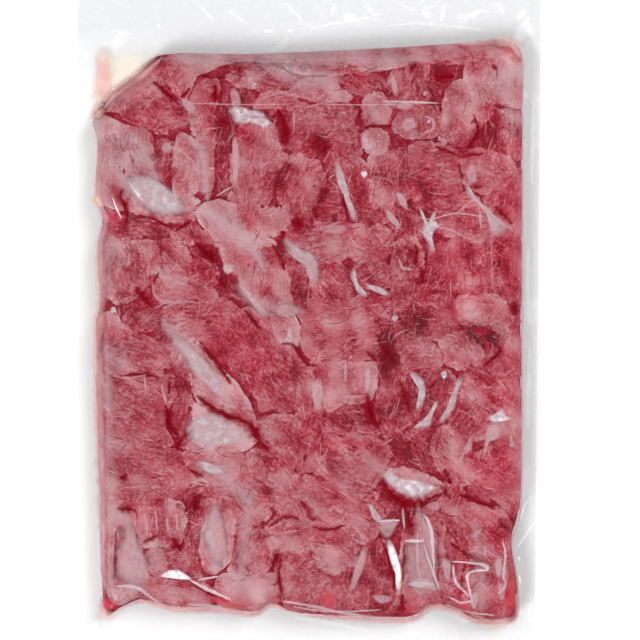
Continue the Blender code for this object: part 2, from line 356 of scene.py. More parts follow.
# %% Raw beef
THREAD_GAP = 2.8
SINEW_SHADE = "#D3A6AB"


def raw_beef():
    """Wet muscle: a deep red body, paler fibres and threads of sinew, gloss from the film that wets it."""
    beef = new_material("raw_beef")
    place = add_node(beef, "TexCoord").outputs["Object"]
    curved, bend, streaks, blotches, flecks = muscle_pattern(beef, place)
    flesh = flesh_colour(beef, place, paleness(beef, bend, streaks, blotches, flecks))
    lines = add_node(beef, "Mapping", {
        "Vector": curved, "Scale": (0.4 / THREAD_GAP, 1 / THREAD_GAP, 0.1)})
    threads = add_node(beef, "TexNoise", {
        "Vector": lines, "Scale": 1.0, "Detail": 3.0, "Roughness": 0.6, "Distortion": 0.9},
        noise_type="RIDGED_MULTIFRACTAL", normalize=True)
    thin = add_node(beef, "MapRange", (threads, 0.56, 0.76, 0.0, 0.95))
    some = add_node(beef, "MapRange", (bend, 0.42, 0.62, 0.1, 1.0))
    share = add_node(beef, "Math", (thin, some), operation="MULTIPLY")
    colour = add_node(beef, "Mix", {"Factor": share, "A": flesh, "B": srgb(SINEW_SHADE)}, data_type="RGBA")
    height = add_node(beef, "Math", (streaks, flecks), operation="ADD")
    relief = add_node(beef, "Bump", {"Height": height, "Strength": 0.6, "Distance": 0.0005})
    shader = add_node(beef, "BsdfPrincipled", {
        "Base Color": colour.outputs["Result"], "Roughness": 0.5, "Specular IOR Level": 0.06,
        "Coat Weight": 0.22, "Coat Roughness": 0.12, "Normal": relief})
    add_node(beef, "OutputMaterial", (shader,))
    return beef


beef = raw_beef()
print("material:", beef.name)

# %% [markdown]
# ## The top slices
# The upper film presses 129 thin slices and trimmings into one nearly flat face. Each has its own outline,
# paleness and grain, and its rim dips where the next slice begins. The outlines were measured on the pack,
# one by one. A slice could be sculpted, but one rule of height for all of them keeps them pillow-like, and
# lets the film be laid over the same rule later.

# %% The outlines of the top slices
# Each entry holds the paleness, the turn of the grain in degrees, and the outline in millimetres.
# The palest slices, at .86 and .9, lie where the lamps glare on the film, so part of their paleness is a
# painted highlight.
TOP_SLICES = (
    (.30, 60, (-92, 130), (-80, 142), (-74, 141), (-73, 128), (-74, 120), (-84, 128)),
    (.65, 80, (-74, 139), (-62, 133), (-63, 125), (-66, 119), (-70, 120), (-75, 128)),
    (.55, 35, (-112, 113), (-105, 122), (-96, 126), (-90, 131), (-85, 128), (-80, 121), (-88, 113),
     (-98, 112)),
    (.35, -20, (-100, 110), (-94, 117), (-84, 121), (-73, 118), (-66, 114), (-64, 106), (-76, 100),
     (-90, 104)),
    (.72, 92, (-116, 106), (-108, 108), (-100, 104), (-86, 104), (-84, 92), (-81, 78), (-85, 62), (-96, 60),
     (-108, 62), (-114, 66), (-116, 84)),
    (.35, 50, (-84, 92), (-80, 96), (-74, 95), (-70, 90), (-71, 82), (-76, 74), (-80, 78), (-83, 86)),
    (.78, 75, (-70, 98), (-62, 96), (-56, 88), (-57, 80), (-58, 72), (-66, 66), (-72, 68), (-72, 80)),
    (.60, 5, (-66, 126), (-58, 130), (-50, 128), (-47, 120), (-51, 112), (-50, 100), (-51, 88), (-51, 72),
     (-58, 70), (-60, 90), (-63, 105), (-66, 118)),
    (.15, 85, (-52, 129), (-44, 126), (-42, 116), (-42, 108), (-40, 96), (-41, 84), (-43, 70), (-48, 68),
     (-50, 84), (-51, 100), (-51, 112)),
    (.74, 0, (-79, 143), (-60, 144), (-40, 144), (-10, 145), (-8, 136), (-20, 137), (-42, 138), (-58, 131),
     (-72, 136)),
    (.74, 0, (-12, 145), (10, 145), (40, 146), (58, 147), (58, 138), (40, 134), (20, 131), (0, 131),
     (-12, 136)),
    (.35, -10, (-42, 134), (-34, 137), (-20, 135), (-8, 130), (-3, 128), (-14, 124), (-24, 122),
     (-36, 130)),
    (.66, 30, (-44, 130), (-36, 132), (-30, 128), (-30, 124), (-38, 125)),
    (.12, 70, (-45, 126), (-38, 126), (-30, 124), (-28, 120), (-32, 114), (-37, 112), (-40, 118)),
    (.55, 70, (-40, 92), (-36, 104), (-28, 107), (-20, 104), (-16, 96), (-15, 90), (-10, 85), (-15, 77),
     (-18, 66), (-19, 60), (-30, 60), (-38, 66), (-41, 78)),
    (.60, 0, (-28, 116), (-22, 122), (-10, 121), (0, 118), (0, 112), (-12, 112), (-20, 113), (-28, 113)),
    (.14, 80, (-22, 112), (-10, 113), (-8, 108), (-11, 100), (-11, 94), (-15, 92), (-17, 98), (-18, 105)),
    (.36, 20, (-8, 113), (6, 115), (18, 116), (24, 112), (26, 104), (24, 97), (12, 96), (-2, 98),
     (-10, 103)),
    (.60, 3, (-3, 128), (5, 130), (14, 130), (19, 127), (22, 121), (20, 117), (8, 116), (-4, 119),
     (-10, 121)),
    (.25, -30, (18, 129), (26, 133), (34, 134), (42, 132), (44, 122), (42, 118), (34, 120), (26, 121),
     (20, 124)),
    (.68, 80, (30, 118), (38, 121), (43, 114), (42, 106), (36, 103), (31, 104), (29, 110)),
    (.68, 80, (29, 99), (36, 102), (42, 98), (41, 91), (35, 89), (30, 92)),
    (.40, 10, (8, 98), (24, 99), (28, 94), (26, 87), (16, 87), (8, 90)),
    (.20, 40, (-10, 100), (4, 102), (12, 98), (12, 88), (2, 86), (-8, 88)),
    (.22, 50, (44, 133), (50, 134), (54, 126), (56, 119), (50, 118), (44, 114), (42, 122)),
    (.45, 75, (55, 140), (62, 139), (64, 132), (62, 124), (66, 119), (58, 116), (52, 122), (52, 132)),
    (.10, -8, (62, 137), (70, 139), (78, 138), (84, 134), (80, 126), (72, 121), (65, 126)),
    (.42, 30, (48, 112), (56, 118), (66, 115), (72, 108), (70, 100), (60, 97), (50, 99), (44, 105)),
    (.60, 70, (72, 112), (74, 122), (80, 127), (88, 128), (96, 124), (100, 119), (97, 110), (92, 104),
     (88, 96), (86, 90), (78, 90), (71, 93), (70, 102)),
    (.16, 85, (98, 120), (104, 116), (113, 112), (114, 100), (114, 88), (104, 86), (94, 88), (88, 93),
     (92, 104), (97, 110)),
    (.75, 85, (86, 122), (84, 134), (86, 146), (100, 148), (112, 146), (114, 132), (114, 116), (102, 116)),
    (.62, 5, (56, 147), (72, 148), (88, 147), (87, 138), (78, 137), (64, 138), (56, 140)),
    (.30, -8, (-108, 60), (-100, 56), (-94, 54), (-88, 53), (-80, 51), (-73, 46), (-78, 41), (-88, 41),
     (-100, 43), (-112, 48)),
    (.50, 85, (-112, 46), (-104, 44), (-94, 42), (-86, 42), (-81, 38), (-80, 30), (-83, 24), (-90, 16),
     (-99, 9), (-106, 12), (-111, 20), (-113, 32)),
    (.86, 20, (-96, 72), (-90, 76), (-80, 72), (-76, 66), (-70, 62), (-72, 54), (-80, 53), (-88, 56),
     (-96, 60)),
    (.72, 10, (-76, 64), (-68, 67), (-60, 64), (-58, 58), (-62, 53), (-73, 53)),
    (.50, 120, (-73, 47), (-66, 51), (-58, 53), (-50, 53), (-48, 46), (-52, 40), (-60, 40), (-70, 41)),
    (.55, -35, (-82, 40), (-72, 43), (-66, 39), (-63, 30), (-60, 21), (-70, 21), (-80, 23), (-82, 32)),
    (.08, 80, (-62, 42), (-52, 43), (-45, 36), (-47, 28), (-56, 28), (-61, 34)),
    (.45, 30, (-65, 30), (-58, 32), (-51, 30), (-49, 22), (-55, 17), (-63, 20)),
    (.82, -35, (-60, 58), (-50, 63), (-40, 61), (-33, 56), (-28, 50), (-22, 45), (-19, 40), (-24, 33),
     (-29, 27), (-37, 25), (-44, 28), (-47, 36), (-51, 44), (-56, 50)),
    (.58, 88, (-28, 36), (-20, 38), (-14, 32), (-11, 22), (-9, 12), (-13, 5), (-24, 7), (-35, 17),
     (-37, 26), (-31, 29)),
    (.45, -15, (-84, 21), (-78, 24), (-70, 22), (-62, 21), (-53, 18), (-50, 11), (-62, 7), (-72, 7),
     (-80, 9)),
    (.22, 45, (-98, 13), (-91, 18), (-85, 16), (-80, 10), (-74, 6), (-72, 0), (-80, -5), (-92, -4),
     (-100, 3)),
    (.36, 5, (-77, 6), (-66, 9), (-56, 9), (-46, 11), (-37, 4), (-35, -6), (-46, -11), (-56, -11),
     (-66, -7), (-74, -3)),
    (.50, 80, (-43, 67), (-34, 67), (-27, 61), (-27, 52), (-34, 47), (-42, 52)),
    (.72, 20, (-30, 57), (-20, 60), (-11, 58), (-9, 51), (-16, 46), (-26, 46)),
    (.60, 65, (-8, 88), (2, 87), (10, 77), (9, 69), (5, 61), (3, 53), (-6, 51), (-13, 56), (-17, 62),
     (-17, 70), (-13, 79)),
    (.35, 3, (7, 70), (14, 71), (20, 62), (20, 54), (12, 51), (4, 53), (3, 62)),
    (.30, 60, (8, 88), (20, 89), (28, 85), (34, 78), (34, 68), (30, 60), (22, 60), (18, 68), (12, 74)),
    (.34, 10, (20, 60), (32, 62), (45, 61), (43, 52), (32, 49), (23, 51)),
    (.55, 80, (33, 87), (44, 89), (50, 80), (48, 68), (42, 60), (34, 61), (32, 72)),
    (.45, 15, (-12, 51), (0, 53), (10, 52), (24, 51), (28, 46), (23, 38), (14, 31), (5, 33), (-2, 38),
     (-12, 42)),
    (.50, -35, (23, 49), (32, 51), (41, 49), (45, 42), (44, 34), (40, 30), (30, 30), (21, 36)),
    (.18, 80, (-14, 34), (-6, 32), (0, 26), (2, 18), (-1, 9), (-9, 7), (-12, 16)),
    (.32, -40, (3, 31), (14, 31), (21, 24), (23, 16), (20, 8), (10, 6), (3, 12), (1, 22)),
    (.50, 10, (0, 12), (12, 10), (24, 14), (32, 9), (42, 7), (46, -2), (40, -12), (34, -20), (24, -23),
     (8, -23), (-2, -22), (-8, -14), (-9, -2)),
    (.26, 30, (25, 30), (34, 32), (45, 28), (47, 20), (38, 16), (29, 18), (25, 24)),
    (.30, 25, (28, 14), (40, 15), (48, 9), (46, 0), (36, 2), (28, 6)),
    (.35, 85, (41, 88), (50, 91), (55, 82), (56, 72), (53, 65), (46, 63), (42, 74)),
    (.50, 5, (55, 93), (66, 94), (77, 91), (81, 84), (81, 75), (74, 71), (64, 71), (55, 78)),
    (.30, -5, (55, 77), (66, 75), (79, 73), (81, 66), (74, 61), (66, 59), (57, 61), (55, 68)),
    (.45, 3, (68, 61), (76, 66), (86, 67), (93, 61), (98, 54), (99, 45), (90, 42), (80, 44), (69, 48)),
    (.22, 86, (64, 46), (74, 49), (84, 48), (95, 47), (99, 40), (99, 26), (98, 15), (90, 9), (80, 8),
     (69, 11), (63, 18), (61, 32)),
    (.16, 80, (99, 46), (106, 47), (114, 40), (114, 24), (113, 8), (106, 8), (99, 14), (98, 30)),
    (.55, -25, (81, 86), (90, 91), (100, 89), (108, 85), (111, 76), (104, 69), (96, 67), (87, 71),
     (82, 76)),
    (.30, 70, (97, 70), (106, 75), (114, 80), (115, 62), (114, 46), (106, 50), (99, 58), (94, 64)),
    (.24, 80, (43, 58), (52, 61), (58, 58), (61, 48), (56, 40), (46, 41), (42, 50)),
    (.45, 75, (46, 41), (55, 44), (60, 37), (60, 27), (52, 22), (45, 27), (43, 34)),
    (.35, 5, (58, 17), (70, 20), (79, 13), (82, 2), (77, -9), (66, -10), (58, -3), (57, 8)),
    (.55, 20, (79, 11), (90, 13), (99, 13), (105, 8), (99, -1), (90, -3), (81, -3)),
    (.42, 60, (97, 8), (105, 10), (111, 4), (112, -4), (104, -8), (97, -4)),
    (.35, 80, (45, 17), (54, 20), (60, 12), (59, 0), (54, -9), (46, -12), (42, 0)),
    (.36, -15, (-104, 4), (-92, 1), (-80, -2), (-73, -6), (-71, -14), (-70, -24), (-74, -29), (-84, -31),
     (-94, -29), (-107, -28), (-112, -14), (-112, 0)),
    (.36, -20, (-112, -30), (-96, -28), (-88, -28), (-80, -30), (-73, -30), (-72, -40), (-76, -48),
     (-78, -56), (-73, -65), (-84, -68), (-92, -67), (-104, -65), (-112, -60), (-113, -44)),
    (.35, 80, (-74, -31), (-68, -29), (-61, -34), (-59, -42), (-60, -52), (-60, -62), (-65, -70),
     (-71, -64), (-74, -54), (-77, -46), (-75, -38)),
    (.50, 60, (-75, -3), (-66, -5), (-61, -10), (-59, -20), (-61, -31), (-69, -29), (-73, -20), (-76, -12)),
    (.90, -48, (-73, -8), (-64, -8), (-56, -16), (-48, -26), (-40, -33), (-33, -43), (-29, -56), (-40, -52),
     (-52, -47), (-60, -41), (-63, -30), (-68, -22)),
    (.90, -25, (-63, -43), (-54, -46), (-44, -51), (-36, -54), (-29, -60), (-32, -68), (-44, -71),
     (-56, -72), (-66, -70), (-63, -58)),
    (.32, -50, (-60, -11), (-50, -3), (-40, 3), (-30, 5), (-21, -1), (-15, -11), (-7, -18), (-1, -26),
     (-3, -40), (-7, -52), (-18, -53), (-28, -50), (-36, -42), (-43, -29), (-51, -20)),
    (.42, -12, (-112, -66), (-96, -66), (-86, -67), (-76, -69), (-69, -71), (-62, -76), (-62, -88),
     (-69, -98), (-80, -101), (-92, -101), (-106, -98), (-112, -84)),
    (.70, 0, (-66, -71), (-56, -70), (-46, -69), (-37, -71), (-36, -80), (-45, -87), (-56, -86),
     (-64, -83)),
    (.72, -30, (-24, 3), (-12, 5), (-6, -3), (-7, -14), (-14, -16), (-21, -10)),
    (.50, 85, (-5, -24), (4, -23), (12, -23), (12, -36), (10, -50), (2, -52), (-5, -48), (-7, -36)),
    (.66, 4, (8, -22), (16, -21), (26, -23), (35, -24), (35, -36), (31, -43), (20, -44), (11, -48),
     (8, -38)),
    (.26, -20, (9, -47), (20, -43), (31, -41), (37, -51), (40, -60), (30, -62), (20, -61), (11, -57)),
    (.50, -40, (-30, -56), (-20, -52), (-10, -52), (-3, -59), (-5, -72), (-11, -83), (-20, -86), (-27, -79),
     (-24, -70)),
    (.40, 70, (-9, -52), (0, -50), (11, -51), (13, -60), (9, -72), (11, -81), (2, -86), (-7, -82),
     (-9, -68)),
    (.55, -20, (9, -58), (20, -60), (32, -63), (41, -67), (43, -78), (36, -88), (24, -92), (12, -88),
     (4, -79), (2, -68)),
    (.55, -50, (-45, -76), (-36, -72), (-27, -69), (-23, -78), (-25, -88), (-31, -94), (-41, -90)),
    (.30, 75, (38, -23), (50, -25), (57, -33), (60, -44), (55, -54), (44, -60), (37, -57), (33, -46),
     (33, -33)),
    (.22, 40, (34, 2), (44, 0), (50, -8), (50, -20), (44, -25), (36, -20), (34, -8)),
    (.52, 5, (45, -7), (54, -5), (63, -11), (70, -18), (68, -27), (56, -27), (48, -22), (45, -15)),
    (.66, -60, (72, -9), (82, -6), (91, -11), (93, -20), (91, -26), (82, -26), (74, -23), (70, -16)),
    (.32, 70, (96, -9), (106, -6), (113, -10), (113, -30), (104, -30), (95, -28), (91, -22), (98, -16)),
    (.40, -45, (87, -25), (98, -25), (109, -29), (113, -42), (112, -52), (98, -48), (90, -52), (83, -47),
     (82, -36)),
    (.22, 70, (60, -28), (70, -26), (78, -32), (79, -44), (77, -55), (68, -59), (58, -54), (58, -42)),
    (.35, 60, (77, -34), (86, -34), (94, -42), (97, -52), (94, -62), (84, -64), (76, -58), (75, -46)),
    (.45, -40, (94, -46), (104, -46), (112, -52), (113, -64), (106, -70), (98, -66), (92, -58)),
    (.26, -40, (43, -59), (56, -58), (67, -59), (72, -68), (72, -80), (62, -86), (50, -84), (40, -77),
     (40, -65)),
    (.58, -50, (70, -58), (80, -58), (86, -64), (86, -74), (88, -84), (78, -88), (70, -80), (66, -68)),
    (.36, -35, (83, -76), (92, -71), (100, -65), (112, -66), (113, -84), (112, -101), (104, -106),
     (98, -102), (88, -96), (80, -90), (78, -82)),
    (.60, 88, (-92, -102), (-82, -99), (-72, -97), (-65, -101), (-67, -110), (-70, -119), (-80, -120),
     (-90, -119)),
    (.40, 10, (-92, -121), (-80, -118), (-70, -120), (-64, -126), (-66, -135), (-78, -138), (-86, -136),
     (-91, -128)),
    (.68, 85, (-111, -100), (-98, -98), (-90, -102), (-87, -112), (-89, -124), (-86, -137), (-92, -147),
     (-104, -150), (-110, -138), (-111, -120)),
    (.30, 80, (-69, -99), (-62, -91), (-55, -91), (-54, -104), (-56, -118), (-52, -131), (-60, -137),
     (-68, -130), (-72, -114)),
    (.86, 85, (-57, -99), (-48, -97), (-40, -103), (-41, -116), (-43, -128), (-52, -135), (-58, -127),
     (-58, -112)),
    (.45, -8, (-88, -137), (-76, -138), (-64, -137), (-56, -141), (-50, -149), (-62, -153), (-78, -152),
     (-90, -148)),
    (.70, -5, (-62, -86), (-50, -84), (-41, -87), (-37, -94), (-41, -104), (-52, -106), (-62, -99)),
    (.50, 60, (-42, -91), (-30, -91), (-21, -97), (-22, -108), (-34, -112), (-43, -105)),
    (.48, -40, (-37, -79), (-26, -81), (-19, -87), (-13, -94), (-20, -99), (-29, -94), (-36, -89)),
    (.60, -50, (-21, -83), (-10, -81), (-3, -87), (0, -98), (-4, -107), (-14, -107), (-18, -98)),
    (.45, 75, (-44, -111), (-32, -110), (-23, -115), (-20, -126), (-26, -137), (-38, -138), (-45, -127)),
    (.60, 20, (-23, -112), (-14, -105), (-3, -106), (4, -112), (4, -121), (-6, -125), (-14, -124),
     (-22, -124)),
    (.45, 30, (-16, -126), (-9, -121), (-1, -123), (8, -130), (10, -141), (8, -153), (-4, -156),
     (-13, -151), (-17, -138)),
    (.58, -10, (1, -110), (12, -107), (23, -108), (26, -118), (24, -129), (18, -135), (7, -133), (2, -122)),
    (.22, 70, (8, -132), (16, -131), (24, -134), (26, -146), (20, -156), (8, -157), (5, -145)),
    (.50, -25, (-2, -84), (8, -86), (20, -89), (33, -92), (42, -98), (38, -111), (28, -119), (20, -112),
     (8, -108), (0, -100)),
    (.20, 86, (28, -114), (40, -118), (46, -128), (50, -142), (44, -156), (30, -157), (22, -148),
     (22, -130)),
    (.60, -5, (-48, -138), (-34, -135), (-20, -136), (-15, -143), (-18, -151), (-30, -155), (-46, -153)),
    (.18, 60, (36, -88), (46, -90), (54, -96), (56, -106), (46, -112), (36, -106)),
    (.86, 0, (40, -82), (48, -79), (60, -82), (71, -88), (66, -95), (54, -98), (44, -93)),
    (.55, 60, (70, -88), (79, -87), (84, -97), (84, -106), (75, -105), (68, -97)),
    (.30, -60, (70, -98), (80, -101), (88, -112), (88, -124), (80, -130), (70, -128), (66, -112)),
    (.40, -25, (81, -98), (92, -100), (104, -103), (108, -116), (104, -128), (94, -132), (87, -124),
     (83, -110)),
    (.55, 86, (54, -100), (62, -98), (70, -105), (73, -120), (72, -136), (72, -152), (58, -156), (50, -146),
     (50, -120)),
    (.34, 20, (70, -128), (80, -128), (88, -132), (88, -144), (86, -154), (74, -154), (70, -142)),
    (.45, 60, (86, -130), (96, -129), (105, -134), (107, -148), (104, -160), (92, -160), (84, -152),
     (84, -140)),
    (.14, 86, (104, -116), (110, -118), (113, -136), (112, -158), (105, -160), (103, -146), (102, -130)),
)
print("top slices:", len(TOP_SLICES))

# %% [markdown]
# ## One slice
# A slice is a closed pillow. Its rings all follow its outline, closer and closer to its middle, and a rule
# of height lifts them: flat over the crown, and rounded off towards the rim. Soft lumps and ridges along
# the grain are added to that rule, so that the light breaks on the meat as it does on cut muscle.

# %% Soft random waves
WAVE_PITCHES = (0.7, 1.5)
WAVE_STRAY = 9
WAVE_BEND = 0.9
WAVE_BEND_PITCH = 0.31
WAVE_LEVEL = 1.2
ANY_PHASE = 6.3


def waves(x, y, length, seed, turn=None, parts=6):
    """Smooth seeded bumps between about -1 and 1, some millimetres long. A turn in degrees lines them up."""
    draw = random.Random(seed)
    total = np.zeros_like(x, float)
    for _ in range(parts):
        if turn is None:
            way = draw.uniform(0, math.pi)
        else:
            way = math.radians(turn + 90 + draw.gauss(0, WAVE_STRAY))
        pitch = 2 * math.pi / (length * draw.uniform(*WAVE_PITCHES))
        across = (x * math.sin(way) - y * math.cos(way)) * pitch * WAVE_BEND_PITCH
        bend = WAVE_BEND * np.sin(across + draw.uniform(0, ANY_PHASE))
        along = (x * math.cos(way) + y * math.sin(way)) * pitch
        total += np.sin(along + bend + draw.uniform(0, ANY_PHASE))
    return total / math.sqrt(parts) / WAVE_LEVEL


print("a wave at the middle:", waves(np.zeros(1), np.zeros(1), 10, 1).round(3))

# %% The rule of height
SLICE_POINTS = 120
SLICE_OVERLAP = 1.03
SLICE_SPILL = 0.9
MIDDLE_TONE = 0.46
TONE_SPREAD = 0.7
LEVEL_DRIFT = 0.35
PALE_LIFT = 0.9
RIM_DEPTH = (0.35, 1.3)
SLICE_TILT = 0.02
TILT_LIMIT = 0.8
RAGGED_EDGE = 0.22
RAGGED_LOBES = ((9, 1), (15, 2), (23, 0))
CROWN_FLATNESS = 3
CROWN_FULLNESS = 0.7
LUMP_HEIGHT, LUMP_SIZE = 0.34, 11
RIDGE_HEIGHT, RIDGE_SIZE = 0.13, 3.6
RIM_RELIEF = 0.4
HIGHEST_MEAT = 19.0
SLICE_SEED, RIDGE_SEED = 1000, 500


class Slice:
    """A slice's outline about its middle, and the heights over it."""

    def __init__(self, number, tone, grain, points):
        draw = random.Random(SLICE_SEED + number)
        ring = curve_through(points, SLICE_POINTS, closed=True)
        self.middle = ring.mean(axis=0)
        offset = ring - self.middle
        order = np.argsort(np.arctan2(offset[:, 1], offset[:, 0]))
        self.turns = np.arctan2(offset[:, 1], offset[:, 0])[order]
        self.radii = np.hypot(offset[:, 0], offset[:, 1])[order] * SLICE_OVERLAP + SLICE_SPILL
        self.number = number
        self.grain = grain
        self.tone = 0.5 + (tone - MIDDLE_TONE) * TONE_SPREAD
        self.level = SLICE_LEVEL - LEVEL_DRIFT + PALE_LIFT * tone + draw.uniform(-LEVEL_DRIFT, LEVEL_DRIFT)
        self.rim_depth = draw.uniform(*RIM_DEPTH)
        self.hue = draw.uniform(-1, 1)
        self.slope = np.array([draw.gauss(0, SLICE_TILT), draw.gauss(0, SLICE_TILT)])
        self.size = float(self.radii.mean())

    def radius(self, turn):
        """The distance from the middle to the rim, with a slightly ragged edge."""
        smooth = np.interp(turn, self.turns, self.radii, period=2 * math.pi)
        ragged = sum(np.sin(turn * lobes + k * self.number) for lobes, k in RAGGED_LOBES)
        return smooth + RAGGED_EDGE * ragged

    def share(self, x, y):
        """0 in the middle of the slice and 1 at its rim."""
        dx, dy = x - self.middle[0], y - self.middle[1]
        return np.hypot(dx, dy) / self.radius(np.arctan2(dy, dx))

    def height(self, x, y, share):
        """The slice's top: a flat crown with a rounded rim, lumps and ridges along the grain."""
        crown = np.clip(1 - np.clip(share, 0, 1) ** CROWN_FLATNESS, 0, 1) ** CROWN_FULLNESS
        tilt = (x - self.middle[0]) * self.slope[0] + (y - self.middle[1]) * self.slope[1]
        lumps = LUMP_HEIGHT * waves(x, y, LUMP_SIZE, self.number)
        ridges = RIDGE_HEIGHT * waves(x, y, RIDGE_SIZE, RIDGE_SEED + self.number, self.grain)
        relief = (lumps + ridges) * (RIM_RELIEF + (1 - RIM_RELIEF) * crown)
        z = self.level + np.clip(tilt, -TILT_LIMIT, TILT_LIMIT) + relief - self.rim_depth * (1 - crown)
        return rolled(np.minimum(z, HIGHEST_MEAT), x, y)


slices = [Slice(number, line[0], line[1], line[2:]) for number, line in enumerate(TOP_SLICES)]
print("mean slice size:", round(2 * sum(one.size for one in slices) / len(slices), 1), "mm")

# %% Paler, deeper, fresher and greyer places
# Each spot is x, y and reach in millimetres, how much paler it is, and how much fresher.
MEAT_SPOTS = (
    (-48, 122, 7, -.25, .9), (-47, 105, 9, -.3, 1), (-70, 122, 6, -.2, .6), (-77, 103, 6, -.15, .5),
    (-95, 107, 5, -.15, .5), (-95, 90, 12, 0, -.9), (-82, 87, 4, -.2, .8), (-100, 118, 8, .1, -.4),
    (-55, 137, 8, .05, -.8), (-110, 100, 6, .1, 0), (-38, 135, 4, -.15, .6), (0, 141, 16, .05, -.9),
    (-28, 141, 14, .1, -.9), (32, 142, 14, .05, -.8), (-15, 104, 5, -.2, .9), (3, 95, 6, -.2, .8),
    (25, 130, 9, -.1, .6), (0, 127, 10, 0, -.7), (35, 111, 6, .1, -.6), (36, 95, 6, .1, -.5),
    (-40, 104, 6, -.2, 1.1), (28, 105, 4, -.2, .6), (70, 134, 9, -.2, .9), (98, 107, 9, -.2, .9),
    (92, 98, 7, -.15, .9), (100, 90, 8, 0, .7), (109, 90, 6, -.1, .9), (104, 128, 11, .05, -1),
    (109, 107, 7, .45, -.9), (55, 105, 7, 0, -.7), (85, 112, 10, .1, .3), (86, 89, 4, -.2, .8),
    (47, 143, 10, 0, -.7), (105, 145, 7, .1, .7), (-100, 82, 12, 0, -.8), (-78, 74, 5, -.2, .9),
    (-98, 60, 5, -.1, 1), (-106, 56, 4, 0, 1.2), (-85, 48, 9, -.1, .4), (-103, 35, 9, .05, -1),
    (-57, 35, 8, -.25, .8), (-45, 20, 6, -.2, .9), (-88, 12, 6, -.15, .6), (-72, 15, 10, .15, -.3),
    (-45, 78, 5, -.2, .8), (-17, 72, 6, -.15, .3), (4, 62, 6, -.15, .3), (-5, 51, 5, -.3, 1),
    (-16, 36, 5, -.15, 1), (-33, 31, 4, -.1, 1.1), (-5, 22, 7, -.15, .2), (25, 45, 7, .05, .6),
    (-32, 55, 5, -.1, .7), (15, 5, 10, -.05, .3), (10, 40, 8, .1, -.4), (80, 28, 17, 0, 1),
    (106, 35, 9, 0, 1.1), (105, 66, 8, 0, .6), (62, 70, 8, -.05, .7), (85, 60, 10, .05, .5),
    (55, 30, 6, -.2, .2), (47, 45, 7, 0, .6), (85, 5, 6, .15, .3), (110, 6, 3, -.5, -.3),
    (103, 5, 5, .1, .6), (-105, -20, 7, .1, -.9), (-85, -55, 14, 0, .3), (-45, -10, 14, 0, .5),
    (-25, -25, 14, 0, .2), (42, -17, 7, -.55, -.5), (15, -65, 8, -.1, .4), (32, -76, 8, .1, -.4),
    (94, -10, 6, -.65, -1.2), (60, 0, 6, -.4, -1), (57, -6, 5, -.3, -.8), (87, -6, 5, -.3, -.7),
    (43, -24, 5, -.4, -.4), (103, -36, 10, .05, 1), (105, -76, 11, .05, 1), (55, -42, 6, -.25, -.3),
    (48, -70, 10, -.1, .5), (76, -70, 6, .15, 0), (88, -42, 6, .12, 0), (-60, -97, 8, -.2, .1),
    (-72, -121, 6, -.2, .3), (-92, -104, 6, -.05, .9), (-98, -112, 4, -.1, .8), (-58, -130, 6, -.15, .4),
    (-47, -148, 6, 0, 1.1), (-82, -141, 5, -.05, .9), (0, -128, 7, -.2, .4), (10, -149, 6, -.1, 1),
    (-18, -128, 5, -.2, .5), (10, -112, 8, -.05, .7), (36, -125, 8, -.15, .4), (42, -92, 7, -.3, .4),
    (95, -86, 12, .05, .9), (90, -106, 9, .1, 1), (106, -112, 6, -.2, .8), (78, -118, 8, -.1, -.1),
    (85, -128, 6, -.15, .8), (95, -145, 8, .05, .7), (108, -148, 5, 0, 1.4), (55, -108, 5, -.2, .3),
    (60, -130, 8, 0, -.9), (60, -151, 8, -.1, .9), (80, -145, 6, -.1, .9), (-80, -142, 20, .14, -.4),
    (-30, -144, 20, .16, -.3), (14, -140, 20, .12, -.3), (62, -140, 20, .1, -.4), (-106, -90, 18, .12, -.4),
    (-106, -40, 18, .08, -.3), (0, 66, 28, -.1, .1), (62, 76, 20, -.12, .2), (60, -60, 22, -.12, 0),
    (50, 16, 20, -.12, .1), (-10, -70, 22, -.08, .2), (30, -60, 14, -.1, .3), (84, 32, 20, .1, .5),
    (88, 16, 14, .08, .5), (0, 8, 50, .05, .1), (-104, -10, 26, .04, -.2), (-100, 110, 16, .05, 0),
    (0, 105, 30, .04, 0), (104, -50, 20, .06, .6), (104, -120, 14, .06, .6), (-40, -20, 20, -.06, .5),
    (104, 60, 14, .06, .5),
)


def spotted(x, y, column):
    """The sum of all spots at a place: column 3 is paleness and column 4 is freshness."""
    return sum(spot[column] * np.exp(-((x - spot[0]) ** 2 + (y - spot[1]) ** 2) / spot[2] ** 2)
               for spot in MEAT_SPOTS)


print("spots on the meat:", len(MEAT_SPOTS))

# %% The rings of a slice
SLICE_SIDES = 84
TOP_SHARES = (1.0, 0.985, 0.965, 0.94, 0.91, 0.87, 0.83, 0.78, 0.72, 0.66, 0.6, 0.53, 0.46, 0.39, 0.32, 0.25,
              0.18, 0.11, 0.05, 0.0)
UNDER_SHARES = (0.0, 0.5, 0.85, 0.97)
SLICE_THICKNESS = 3.6
SLICE_FLOOR = 3.0
SLICE_REACH = 0.996
# Along the rolled left and right sides the meat is made paler, greyer on the left and a brighter red on the
# right. The paleness, and the brighter red on the right, are painted light against the shade of the rolled
# sides.
BORDER_X = (-113, -104, 103, 110)
BORDER_PAINTED_LIGHT = (0.22, 0, 0, 0.14)
BORDER_FRESHNESS_AND_LIGHT = (-0.4, 0, 0, 0.8)
TONE_DRIFTS = ((0.15, 22, 800), (0.06, 9, 801))
HUE_SPREAD = 0.1
RIM_REACH = 10
BLOCK_RIM_START, BLOCK_RIM_RISE, BLOCK_RIM_MOST = 0.93, 20, 0.6
GRAIN_APART = 40
SLICE_MARKS = {"floats": ("tone", "rim", "fresh"), "vectors": ("fibre",)}


